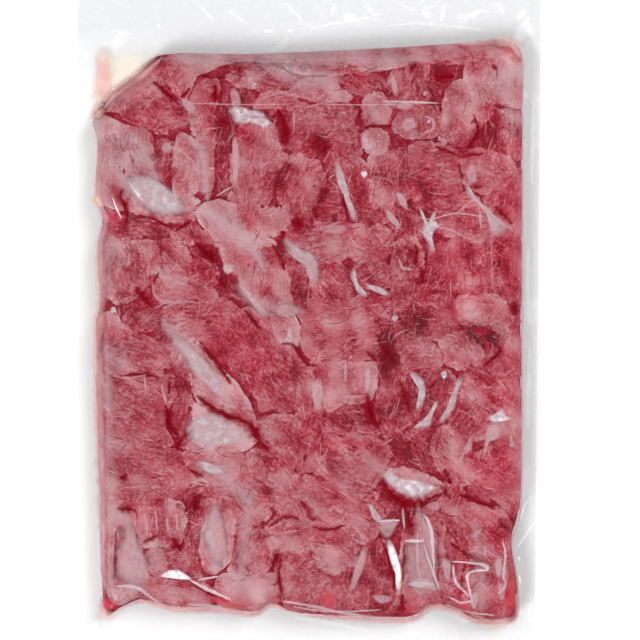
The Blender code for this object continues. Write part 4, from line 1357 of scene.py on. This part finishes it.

# %% Broad pockets of air
# Each entry is a strength and an outline in millimetres.
# The patches at strength 1, and the broad one round (-82, 66), are painted glare of the lamps on the film.
AIR_AND_GLARE_PATCHES = (
    (.5, (-69, 119), (-64, 118), (-61, 116), (-60, 112), (-63, 110), (-66, 112), (-68, 115)),
    (.55, (-78, 95), (-74, 95), (-73, 91), (-76, 89), (-79, 91)),
    (.85, (-44, 113), (-38, 115), (-32, 113), (-27, 112.5), (-22, 109.5), (-19, 104), (-20, 102),
     (-25, 103), (-31, 105), (-36, 104), (-41, 106)),
    (.5, (-42, 124), (-38, 123), (-36, 115), (-40, 112), (-42, 117)),
    (.6, (-41, 98), (-39, 100), (-37.5, 93), (-37.5, 82), (-38, 71), (-40.5, 70), (-41, 84)),
    (.5, (43, 131), (45, 132), (47, 127), (48, 120), (46, 119), (44, 124)),
    (.5, (50, 107), (55, 109), (58, 106), (57, 102), (52, 100), (49, 103)),
    (.45, (38, 117), (47, 117), (56, 116), (57, 113), (50, 112), (44, 114)),
    (.5, (70, 97), (73, 97), (74, 94), (71, 93)),
    (.8, (-98, 76), (-90, 79), (-82, 76), (-73, 70), (-67, 63), (-66, 57), (-73, 55), (-81, 56), (-87, 59),
     (-93, 64), (-97, 69)),
    (.7, (-46, 30), (-41, 30), (-40, 27), (-43, 24), (-46, 26)),
    (.8, (13.5, 86), (16, 85), (18, 80), (20, 74), (22, 66), (24, 60), (26, 56), (26, 51.5), (24, 51),
     (22, 56), (20, 60), (18, 67), (15, 73), (13.5, 79)),
    (.9, (27.5, 79), (30, 80), (31.5, 78), (30, 76), (28, 77)),
    (.65, (40, 60), (43, 59), (47, 54), (50, 49), (46, 50), (42, 54)),
    (.65, (46, 69), (50, 68), (53, 62), (53, 58), (49, 61), (47, 65)),
    (.65, (-13, 42), (-9, 42), (-4, 38), (2, 36), (5, 33), (6, 27), (5.5, 18), (2, 17), (0, 22), (-1, 28),
     (-6, 31), (-11, 35), (-14, 38)),
    (.8, (22.5, 28), (24.5, 28), (26, 20), (29, 16), (32, 13), (30, 11.5), (26, 14), (24, 18), (22, 23)),
    (.75, (29, 20), (33, 19), (38, 18), (42, 15.5), (44, 13), (41, 12.5), (36, 14.5), (31, 17)),
    (.55, (-38, 21), (-34, 18), (-29, 12), (-24, 6), (-19, 1), (-22, 0), (-27, 3), (-31, 9), (-36, 15)),
    (.45, (84, 82), (88, 84), (90, 78), (90, 73), (86, 72), (84, 76)),
    (.65, (81.5, 76), (84, 73), (85, 69), (90, 65), (96, 60), (101, 55), (107, 50), (108.5, 48),
     (104, 43.5), (99, 43), (98.5, 48), (98, 53), (94, 58), (88, 64), (83, 69)),
    (.85, (58, 61), (60, 60), (62, 55), (64, 53), (66, 58), (69, 58), (67, 55), (70, 52), (71, 50),
     (68, 48), (66, 42), (68, 35), (65, 36), (63, 41), (60, 46), (61, 52)),
    (.7, (-76, -6), (-70, -8), (-63, -13), (-57, -19), (-50, -27), (-44, -36), (-40, -45), (-41, -48),
     (-48, -43), (-55, -36), (-62, -29), (-66, -22), (-70, -15)),
    (.75, (-64, -51), (-55, -48), (-49, -49), (-42, -53), (-35, -57), (-32, -62), (-35, -67), (-46, -69),
     (-55, -70), (-64, -67), (-67, -58)),
    (.8, (-60, -75), (-53, -76), (-46, -79), (-44, -82), (-50, -83), (-56, -81)),
    (.7, (-11, -3), (-9, -4), (-8.5, -12), (-11, -13), (-15, -12), (-12, -9)),
    (.6, (2, -31), (7, -31), (8, -38), (7, -46), (7, -50), (4, -50), (2, -45), (1, -39), (0, -34)),
    (.65, (30, -26), (32.5, -24), (33, -30), (32, -38), (30, -39), (30, -32)),
    (.8, (53, -26), (57, -27), (61, -31), (63, -37), (62, -43), (60, -48), (57, -49.5), (58, -44),
     (59, -38), (57, -32), (54, -29)),
    (.8, (55, -58), (60, -54), (65, -48), (68, -42), (69.5, -44), (66, -52), (65, -57), (60, -58.5)),
    (.75, (81, -28), (83, -30), (80, -38), (79, -44), (76, -50), (72, -55), (69, -57), (69, -54), (73, -48),
     (75, -42), (78, -35)),
    (.8, (70, -28), (73, -27), (74, -30), (72, -32)),
    (.9, (95, -52), (100, -49), (103, -47), (105, -49), (106, -51), (109, -52.5), (104, -54.5), (98, -55)),
    (.6, (96, -54), (103, -54), (103, -62), (100, -64), (96, -66), (94, -72), (93, -75), (92, -74),
     (93, -68), (94, -62)),
    (.5, (87, -60), (88, -66), (86, -70), (82, -73), (80, -79), (79, -77), (82, -70), (85, -64)),
    (.6, (108, -60), (109, -64), (110.5, -68), (107, -68)),
    (.5, (-98, -108), (-93, -109), (-92, -114), (-90, -121), (-86, -127), (-84, -134), (-84, -141),
     (-88, -143), (-96, -141), (-103, -138), (-104, -130), (-103, -122), (-99, -116)),
    (1, (-80, -137), (-77, -134), (-71, -133), (-66, -135), (-62, -138.5), (-66, -139), (-72, -138.5)),
    (.45, (-54, -100), (-49, -98), (-46, -104), (-44, -114), (-42, -126), (-44, -132), (-50, -131),
     (-54, -124), (-57, -117), (-55, -110)),
    (.7, (-56, -113), (-52, -111), (-50, -117), (-50, -123), (-54, -120)),
    (.75, (31, -97), (34, -99), (38, -104), (40, -109), (38, -110), (34, -106), (32, -101)),
    (.55, (30, -119), (31.5, -121), (31, -128), (28, -136), (25, -143), (22, -147), (21, -145), (23, -137),
     (25, -129), (28, -122)),
    (.4, (-36, -138), (-20, -138), (-21, -144), (-37, -144)),
    (.5, (33, -147), (43, -147), (45, -150), (38, -152)),
    (.35, (-25, -118), (-20, -115), (-14, -117), (-15, -122), (-20, -124)),
    (.35, (6, -122), (14, -121), (17, -127), (12, -131), (7, -129)),
    (.85, (37, -81), (42, -80), (46, -83), (52, -85), (58, -85), (64, -87), (69, -89), (70, -90.5),
     (66, -93), (60, -95), (54, -95), (48, -93), (43, -89), (39, -85)),
    (.4, (62, -99), (66, -96.5), (70, -97), (70, -102), (66, -102)),
    (.5, (59, -102), (61, -104), (65, -108), (67, -113), (67.5, -122), (67, -134), (64.5, -128), (63, -118),
     (60, -110)),
    (.35, (51, -118), (61, -117.5), (63, -124), (67, -133), (70, -145), (64, -143), (56, -142), (52, -140),
     (51, -128)),
    (.65, (53, -139), (60, -137), (66, -139), (70, -145), (62, -144), (54, -143)),
    (1, (42, -116), (45, -119), (48, -127), (50, -136), (49.5, -144), (48, -148), (46.5, -144),
     (46.5, -137), (43.5, -130), (41.5, -121)),
    (.6, (38, -107), (48, -107), (47, -111), (43, -117), (38, -115)),
    (.6, (71, -126), (76, -129), (76, -136), (75, -141), (73, -139), (71, -133)),
    (.6, (87, -145), (91, -145), (90, -152), (88, -156), (86, -152)),
    (.6, (99, -128), (103, -126), (103, -138), (100, -137)),
    (.5, (101, -141), (105, -140), (105, -148), (103, -151), (101, -146)),
    (.4, (87, -114), (91, -111), (93, -112), (90, -116), (87, -118)),
    (.35, (-17, 8), (-8, 9), (-4, 4), (-10, 1), (-18, 2)),
    (.4, (82, 6), (88, 8), (91, 2), (86, -1), (81, 1)),
    (.4, (8, 50), (20, 51), (19, 46), (9, 46)),
)
lay_lenses("trapped_air_and_glare", air_and_glare_material, "clear_film", lift=0.04, thickness=0.22, lines=AIR_POCKETS_AND_GLINTS,
           patches=AIR_AND_GLARE_PATCHES)

# %% [markdown]
# ## Juice in the seams
# Dark juice stands in the seams between slices. The seams are drawn as ragged strips just under the film,
# once at their full strength, and first once more, wider and fainter, for the juice that spreads out beside
# them and as painted shade along the soft folds next to them. A wide, faint seam such as the one from
# (-9, 84) to (-18, 68) is painted shade of a soft fold.

# %% Beef juice
JUICE_RAGGED_SIZE = 1.6


def beef_juice():
    """Myoglobin juice in the gaps: a clear, very deep red that thins out in ragged edges."""
    juice = new_material("beef_juice")
    strength, inset, place = lens_marks(juice)
    ragged = add_node(juice, "TexNoise", {
        "Vector": place, "Scale": 1 / (JUICE_RAGGED_SIZE * MM), "Detail": 4.0, "Roughness": 0.7,
        "Distortion": 0.5})
    depth = add_node(juice, "Math", (ragged, 2.4, inset), operation="MULTIPLY_ADD")
    seen = add_node(juice, "MapRange", (depth, 1.15, 2.1))
    shade = add_node(juice, "Math", (depth, 0.33), operation="MULTIPLY")
    colour = add_node(juice, "ValToRGB", (shade,), stops=(
        (0.3, "#BC1638"), (0.5, "#9A0622"), (0.72, "#68000E")))
    return finish_lens(juice, strength, seen, {
        "Base Color": colour, "Roughness": 0.35, "Specular IOR Level": 0.06})


juice_material = beef_juice()
print("material:", juice_material.name)

# %% Where the seams run
# Each entry is a strength, a width, and the points of its middle line, in millimetres.
JUICE_SEAMS = (
    (.9, 3, (-84, 128), (-76, 121), (-70, 116)), (.9, 2.4, (-63, 124), (-69, 118)),
    (1, 4, (-50, 126), (-50, 116)), (1, 4, (-48, 107), (-41, 104)),
    (.8, 2, (-59, 131), (-50, 129.5), (-43, 130)), (.8, 3, (-37, 134)),
    (1, 5, (-17, 113), (-12, 102), (-13, 92)), (.9, 3, (54, 133), (58, 137)), (1, 4, (66, 130), (78, 130)),
    (.9, 3, (88, 110), (90, 100), (84, 91)), (.9, 2.6, (67, 93), (74, 90), (80, 88)),
    (.7, 2, (79, 87), (94, 89)), (.9, 4, (3, 95)), (.9, 4, (9, 92)), (.8, 2.2, (29, 103), (45, 104)),
    (.8, 2.4, (28, 113), (25, 104)), (.5, 7, (-9, 84), (-15, 76), (-18, 68)), (.8, 2, (-18, 68), (-17, 59)),
    (.5, 7, (10, 71), (5, 63), (4, 54)), (.9, 2.4, (18, 68), (20, 58), (22, 53)),
    (1, 5, (-10, 53), (-3, 50)), (1, 3, (-14, 48), (-14, 42)), (.9, 4, (43, 36), (43, 29)),
    (.9, 4, (-20, 41), (-15, 34), (-13, 26)),
    (1, 3.4, (-98, 71), (-101, 66), (-98, 61), (-97, 56), (-98, 50)),
    (.9, 2.2, (-92, 56), (-84, 54.5), (-79, 52), (-73, 49)), (.9, 2.2, (-72, 47), (-66, 51), (-62, 54)),
    (.6, 9, (-61, 41), (-54, 35), (-49, 26)), (.9, 4, (-93, 18), (-84, 7)), (.9, 1.6, (-100, 8), (-100, 0)),
    (.9, 3.4, (-50, 24), (-44, 17)), (.8, 3, (-35, 6), (-25, -6)), (.8, 2.4, (85, 71), (93, 71)),
    (.8, 4, (99, 61), (109, 51)), (.8, 3, (57, 41), (57, 29)), (.9, 3, (60, 29), (61, 19)),
    (.9, 4, (110, 10), (110, 2)), (.8, 1.6, (-102, -30), (-90, -29), (-79, -31)),
    (.8, 2, (-74, -32), (-75, -40)), (1, 5, (-77, -45), (-74, -55), (-70, -62)),
    (1, 2.6, (-70, -60), (-70, -70)), (.9, 2, (-71, -70), (-68, -64), (-61, -58)),
    (1, 3, (-59, -13), (-50, -22), (-41, -35)),
    (1, 4, (-61, -40), (-52, -47), (-44, -51), (-37, -53), (-30, -57), (-26, -65), (-20, -71)),
    (.9, 2.2, (-16, -13), (-9, -13), (-4, -20), (0, -24), (6, -24)),
    (1, 4, (31, -39), (33, -50), (38, -59)), (.4, 6, (37, -10), (47, -25)), (.6, 2.4, (79, -2), (84, -5)),
    (1, 3.4, (100, -13), (102, -17), (93, -25)), (.6, 4, (49, -33), (54, -50)), (.9, 3, (66, -35)),
    (.9, 4, (72, -79), (76, -88)), (1, 5, (39, -86), (46, -95), (54, -98), (62, -97), (71, -92)),
    (.9, 2.4, (79, -93), (90, -97), (100, -101)), (.55, 6, (101, -106), (109, -114)),
    (.9, 3, (-64, -80), (-56, -84)), (.6, 5, (-61, -92), (-61, -102)), (.9, 4, (-73, -116), (-68, -124)),
    (.8, 2, (-89, -119), (-81, -115)), (.8, 3, (-97, -82), (-101, -85)), (.9, 3, (-103, -101), (-94, -101)),
    (.9, 4, (-18, -127)), (.7, 2, (-15, -126), (-16, -138), (-13, -149)),
    (.8, 2, (1, -110), (10, -112), (21, -109)), (.8, 2, (-22, -111), (-12, -105), (-4, -107)),
    (.9, 2.4, (37, -117), (41, -114), (49, -109)), (1, 3, (39, -118), (44, -132), (46, -146)),
    (.7, 2, (51, -119), (50, -140)), (.4, 1.6, (69, -112), (69, -140)), (.6, 2, (84, -132), (93, -129)),
    (.4, 2, (82, -136), (81, -147)), (.8, 2.4, (75, -119), (86, -126), (94, -129)),
    (1, 2, (-62, -141), (-52, -147), (-42, -151)), (.8, 3, (50, -146), (52, -156)),
    (.7, 2, (-16, -137), (-15, -150)), (.6, 1.6, (-103, -112), (-104, -140)), (.5, 1.6, (44, 3), (52, -2)),
    (.6, 2, (30, -16), (36, -22)), (.7, 2, (82, 75), (80, 84)), (1, 4, (-76, -47), (-74, -55), (-71, -61)),
    (.9, 3.6, (31.5, -42), (33.5, -50), (37, -58)), (.8, 3, (-60, -40), (-50, -48), (-40, -52)),
    (.8, 3, (-32, -56), (-26, -65), (-21, -70)), (.8, 4, (42, -92), (52, -98), (64, -97)),
    (.8, 4, (-13, 102), (-14, 94)), (.7, 4, (52, -101), (56, -116)), (.8, 3, (67, 130), (77, 130)),
    (.7, 4, (-58, 40), (-50, 30)), (.7, 3, (70, -88), (76, -96)),
)
print("seams:", len(JUICE_SEAMS))

# %% Build the seams
SHALLOW, BROAD = 0.4, 2.3
SEAM_LIFT = -0.08
RAGGED = {"thickness": 0.1, "waver": 0.4}
# The wide, faint copies are partly juice and partly painted shade beside the seams.
seam_juice_and_shade = [(line[0] * SHALLOW, line[1] * BROAD) + line[2:] for line in JUICE_SEAMS]
lay_lenses("juice_and_painted_shade", juice_material, "raw_beef", SEAM_LIFT - 0.03, lines=seam_juice_and_shade, **RAGGED)
lay_lenses("juice_seams", juice_material, "raw_beef", SEAM_LIFT, lines=JUICE_SEAMS, **RAGGED)

# %% [markdown]
# ## Creases in the film
# Drawn tight, the film folds into fine ridges over the meat and in its bare margins. A ridge could be
# pinched into the film's grid, but the grid is too coarse for one a millimetre wide, so each is a thin
# raised strip, coloured pale or white as a painted highlight along the fold.

# %% Creased film
def crease_highlight(name, shade):
    """A fold of the laminate catches the light along its whole length: its pale colour is a painted
    highlight.
    """
    crease = new_material(name)
    strength, inset, _ = lens_marks(crease)
    edge = add_node(crease, "MapRange", (inset, 0.0, 0.6), interpolation_type="SMOOTHSTEP")
    return finish_lens(crease, strength, edge, {"Base Color": srgb(shade), "Roughness": 0.15})


pale_crease_highlight = crease_highlight("crease_highlight", "#EADADF")
white_crease_glint = crease_highlight("glinting_film", "#F8F8F8")
print("materials:", pale_crease_highlight.name, white_crease_glint.name)

# %% Where the film is creased
# Each entry is a strength, a width, and the points of its middle line, in millimetres.
FILM_CREASE_HIGHLIGHTS = (
    (.8, 1.2, (-105, 66), (-103, 60), (-100, 54)), (.6, 2, (-65, -138, 1), (-56, -143, 3), (-41, -150, 1)),
    (.4, 2.6, (-104, -142), (-92, -143), (-84, -149), (-75, -155)),
    (.35, 3, (-66, -152), (-50, -154), (-36, -157)),
    (.5, 2.6, (60, -103, 1), (64, -108, 3), (66, -118, 2.6), (67, -139, 1)),
    (.25, 4, (52, -141), (68, -141)),
    (.5, 2, (75, -129), (84, -129.5, 1.6), (94, -131, 2.4), (95, -133.5), (88, -134, 1.6), (84.5, -137),
     (86, -145), (87, -151)), (.4, 2, (75, -148), (81, -151), (87, -150)),
    (.4, 2, (77, -130), (78, -139), (83, -145), (86, -148)),
    (.45, 1.8, (103, -117), (105, -125), (104, -136), (105, -142), (100, -147)),
    (.6, 2.2, (51, -118), (62, -118)), (.5, 1.8, (37, -107.5), (49, -107)),
    (.4, 1.8, (61, -119), (65, -131), (70, -145)), (.3, 1.8, (72, -152), (84, -156), (100, -158)),
    (.15, 1, (-69, 116), (-30, 115), (-6, 115.6)), (.15, 1, (2, 115.4), (36, 115), (73, 116)),
    (.35, 1.4, (38, 117), (70, 116)), (.35, 2.4, (-16, -150), (2, -153), (24, -158), (44, -160)),
    (.25, 1.6, (-10, -153), (12, -156), (40, -155)), (.3, 1.6, (50, -100), (51, -112)),
    (.4, 1.6, (-60, -139), (-48, -137)), (.25, 1.6, (58, -112), (58, -130), (60, -140)),
)
MARGIN_GLINTS = (
    (.56, 1.6, (123, -107), (112, -123)), (.49, 2.4, (-25, 156), (-19, 155.5)),
    (.49, 2.4, (-12, 156), (-8, 156)), (.42, 2.2, (-2, 155.5), (4, 158), (14, 160), (30, 163), (42, 167)),
    (.63, 7, (18, 163), (26, 163)), (.42, 3, (71, 160), (73, 171)),
    (.35, 3, (82, 162), (90, 166), (99, 166)), (.56, 4, (112, 161), (117, 168)),
    (.63, 2, (113, -127), (113, -130)), (.63, 2, (113, -137), (114, -142)),
    (.28, 3, (-14, 172), (-6, 164), (-4, 158)), (.28, 4, (14, 172), (12, 163)),
    (.28, 3, (-60, 171), (-50, 160)), (.28, 3, (120, -150), (118, -164)), (.28, 3, (111, -112), (118, -96)),
    (.24, 3, (40, 158), (60, 160), (96, 156)), (.28, 3, (48, 172), (58, 166)),
    (.28, 2.4, (-108, 156), (-92, 154)), (.28, 3, (-44, 168), (-34, 160)), (.21, 4, (118, 40), (118, 4)),
    (.21, 4, (119, -12), (118, -60)), (.28, 3, (121, 120), (120, 70)),
    (.17, 4, (-10, -160), (10, -163), (34, -168)), (.28, 6, (60, 168), (66, 163)),
    (.28, 5, (100, 172), (106, 164)), (.21, 5, (30, 172), (38, 160)),
)
RAISED = {"lift": 0.06, "thickness": 0.3}
lay_lenses("film_crease_highlights", pale_crease_highlight, "clear_film", **RAISED, lines=FILM_CREASE_HIGHLIGHTS, waver=0.25)
lay_lenses("margin_glints", white_crease_glint, "clear_film", **RAISED, lines=MARGIN_GLINTS)

# %% [markdown]
# ## Sinew and fine cracks
# Close up, cut beef is crossed by hair-fine threads of white sinew and by cracks along the grain where
# juice stands. A texture blurs them, so they are laid as real threads, thin and tapered, most of them along
# the grain of the slice that they lie on. Random draws with a fixed seed scatter them.

# %% Scatter threads over the slices
THREADS_PER_CM2 = 0.9
CRACKS_PER_CM2 = 0.8
SCATTER_REACH = 0.92
CROSSING_CHANCE = 0.2
CROSSING_TURN = 1.3
THREAD_BOW = 0.07
THREAD_STEPS = (-0.5, -0.17, 0.17, 0.5)
THREAD_RANGE = 0.97


def scatter_lines(seed, per_cm2, lengths, widths, strengths, stray):
    """Short curved lines on every slice, mostly along its grain, and more of them on the darker ones."""
    draw = random.Random(seed)
    lines = []
    for one in slices:
        share_of_lines = 1.5 - one.tone
        area = per_cm2 * math.pi * one.size**2 / 100
        for _ in range(int(area * share_of_lines + draw.random())):
            turn, share = draw.uniform(-math.pi, math.pi), SCATTER_REACH * math.sqrt(draw.random())
            far = float(one.radius(turn)) * share
            x, y = one.middle[0] + far * math.cos(turn), one.middle[1] + far * math.sin(turn)
            along = math.radians(one.grain) + draw.gauss(0, stray)
            way = along + (draw.random() < CROSSING_CHANCE) * CROSSING_TURN
            length, bow = draw.uniform(*lengths), draw.gauss(0, THREAD_BOW)
            points = []
            for step in THREAD_STEPS:
                side = bow * length * (1 - 4 * step * step)
                points.append((x + length * step * math.cos(way) - side * math.sin(way),
                               y + length * step * math.sin(way) + side * math.cos(way)))
            if all(math.hypot(*point) < THREAD_RANGE * block_radius(*point) for point in points):
                lines.append((draw.uniform(*strengths), draw.uniform(*widths), *points))
    return lines


threads = scatter_lines(31, THREADS_PER_CM2, lengths=(4, 12), widths=(0.3, 0.6), strengths=(0.1, 0.36),
                        stray=0.25)
cracks = scatter_lines(32, CRACKS_PER_CM2, lengths=(4, 14), widths=(0.4, 0.9), strengths=(0.12, 0.4),
                       stray=0.2)
print("threads and cracks:", len(threads), len(cracks))

# %% Build the threads and cracks
THREAD_SECTION = np.linspace(0, 2 * math.pi, 4, endpoint=False)
THREAD_SHAPE = {"section": THREAD_SECTION, "steps": 6, "blunt": 1.2}
THREAD_CLOUD_SIZE = 4.0


def fine_line(name, dark, light, look):
    """A line a few tenths of a millimetre wide, a little uneven in its shade, and even across."""
    fine = new_material(name)
    strength, _, place = lens_marks(fine)
    cloud = add_node(fine, "TexNoise", {
        "Vector": place, "Scale": 1 / (THREAD_CLOUD_SIZE * MM), "Detail": 2.0})
    colour = add_node(fine, "ValToRGB", (cloud,), stops=(
        (0.35, dark), (0.65, light)))
    shader = add_node(fine, "BsdfPrincipled", {
        **look, "Base Color": colour, "Alpha": strength})
    add_node(fine, "OutputMaterial", (shader,))
    return fine


# Sinew is connective tissue: thin, milky, pinkish white. Juice in a hairline crack is crimson and clear.
sinew = fine_line("white_sinew", "#C98F98", "#D9B4BA", {"Roughness": 0.4})
crack = fine_line("crack_juice", "#7A0618", "#96142A", {"Roughness": 0.4, "IOR": WATER_IOR})
lay_lenses("sinew_threads", sinew, "raw_beef", lift=-0.07, thickness=0.06, lines=threads, **THREAD_SHAPE)
lay_lenses("juice_cracks", crack, "raw_beef", lift=-0.1, thickness=0.06, lines=cracks, **THREAD_SHAPE)

# %% [markdown]
# ## Floor, light and camera
# The pack lies on a white table under soft light. The key light comes from the lower left, a broad fill
# from the upper right, and white surroundings soften both. The pack is looked at straight from above
# through a long lens, so its sides hardly show.

# %% Floor
FLOOR_SPAN = 6.0
FLOOR_GAP = 0.0003
TABLE_CLOUD_SIZE = 0.4


def white_table():
    """Matt white board: even and bright, so that only the pack's own shadow marks it."""
    board = new_material("white_table")
    place = add_node(board, "TexCoord").outputs["Object"]
    cloud = add_node(board, "TexNoise", {
        "Vector": place, "Scale": 1 / TABLE_CLOUD_SIZE, "Detail": 2.0})
    colour = add_node(board, "ValToRGB", (cloud,), stops=(
        (0.3, "#F7F7F7"), (0.7, "#FAFAFA")))
    shader = add_node(board, "BsdfPrincipled", {
        "Base Color": colour, "Roughness": 0.8, "Specular IOR Level": 0.2})
    add_node(board, "OutputMaterial", (shader,))
    return board


floor_builder = bmesh.new()
bmesh.ops.create_grid(floor_builder, x_segments=1, y_segments=1, size=FLOOR_SPAN / 2)
floor_mesh = bpy.data.meshes.new("floor")
floor_builder.to_mesh(floor_mesh)
floor_builder.free()
floor_mesh.transform(Matrix.Translation((0, 0, -FLOOR_GAP)))
floor_mesh.materials.append(white_table())
floor = bpy.data.objects.new("floor", floor_mesh)
bpy.context.scene.collection.objects.link(floor)
print("floor:", FLOOR_SPAN, "m across")

# %% Light
# Each lamp is a name, a place in metres, a size in metres and a power in watts.
LIGHTS = (
    ("key", (-1.7, -1.7, 2.2), 1.3, 62.0),
    ("fill", (1.7, 1.5, 2.2), 1.6, 46.0),
)
WORLD_STRENGTH = 0.52
world = bpy.data.worlds.new("studio")
world.use_nodes = True
background = world.node_tree.nodes["Background"]
background.inputs["Color"].default_value = srgb("#FFFFFF")
background.inputs["Strength"].default_value = WORLD_STRENGTH
bpy.context.scene.world = world
for name, place, size, power in LIGHTS:
    lamp = bpy.data.lights.new(name, "AREA")
    lamp.shape = "DISK"
    lamp.size = size
    lamp.energy = power
    lamp_object = bpy.data.objects.new(name, lamp)
    lamp_object.location = place
    lamp_object.rotation_euler = (-Vector(place)).to_track_quat("-Z", "Y").to_euler()
    bpy.context.scene.collection.objects.link(lamp_object)
bpy.context.scene.view_settings.view_transform = "Standard"
print("lights:", [line[0] for line in LIGHTS])

# %% Camera
# The view's width is that of the picture where it meets the pack's face, in metres.
VIEW_WIDTH = 0.3424
VIEW_MIDDLE = 0.0059
CAMERA_HEIGHT = 1.6
FACE_HEIGHT = 0.015
camera_data = bpy.data.cameras.new("camera")
camera_data.lens = camera_data.sensor_width * (CAMERA_HEIGHT - FACE_HEIGHT) / VIEW_WIDTH
camera = bpy.data.objects.new("camera", camera_data)
camera.location = (VIEW_MIDDLE, 0, CAMERA_HEIGHT)
bpy.context.scene.collection.objects.link(camera)
bpy.context.scene.camera = camera
print("lens:", round(camera_data.lens, 1), "mm")
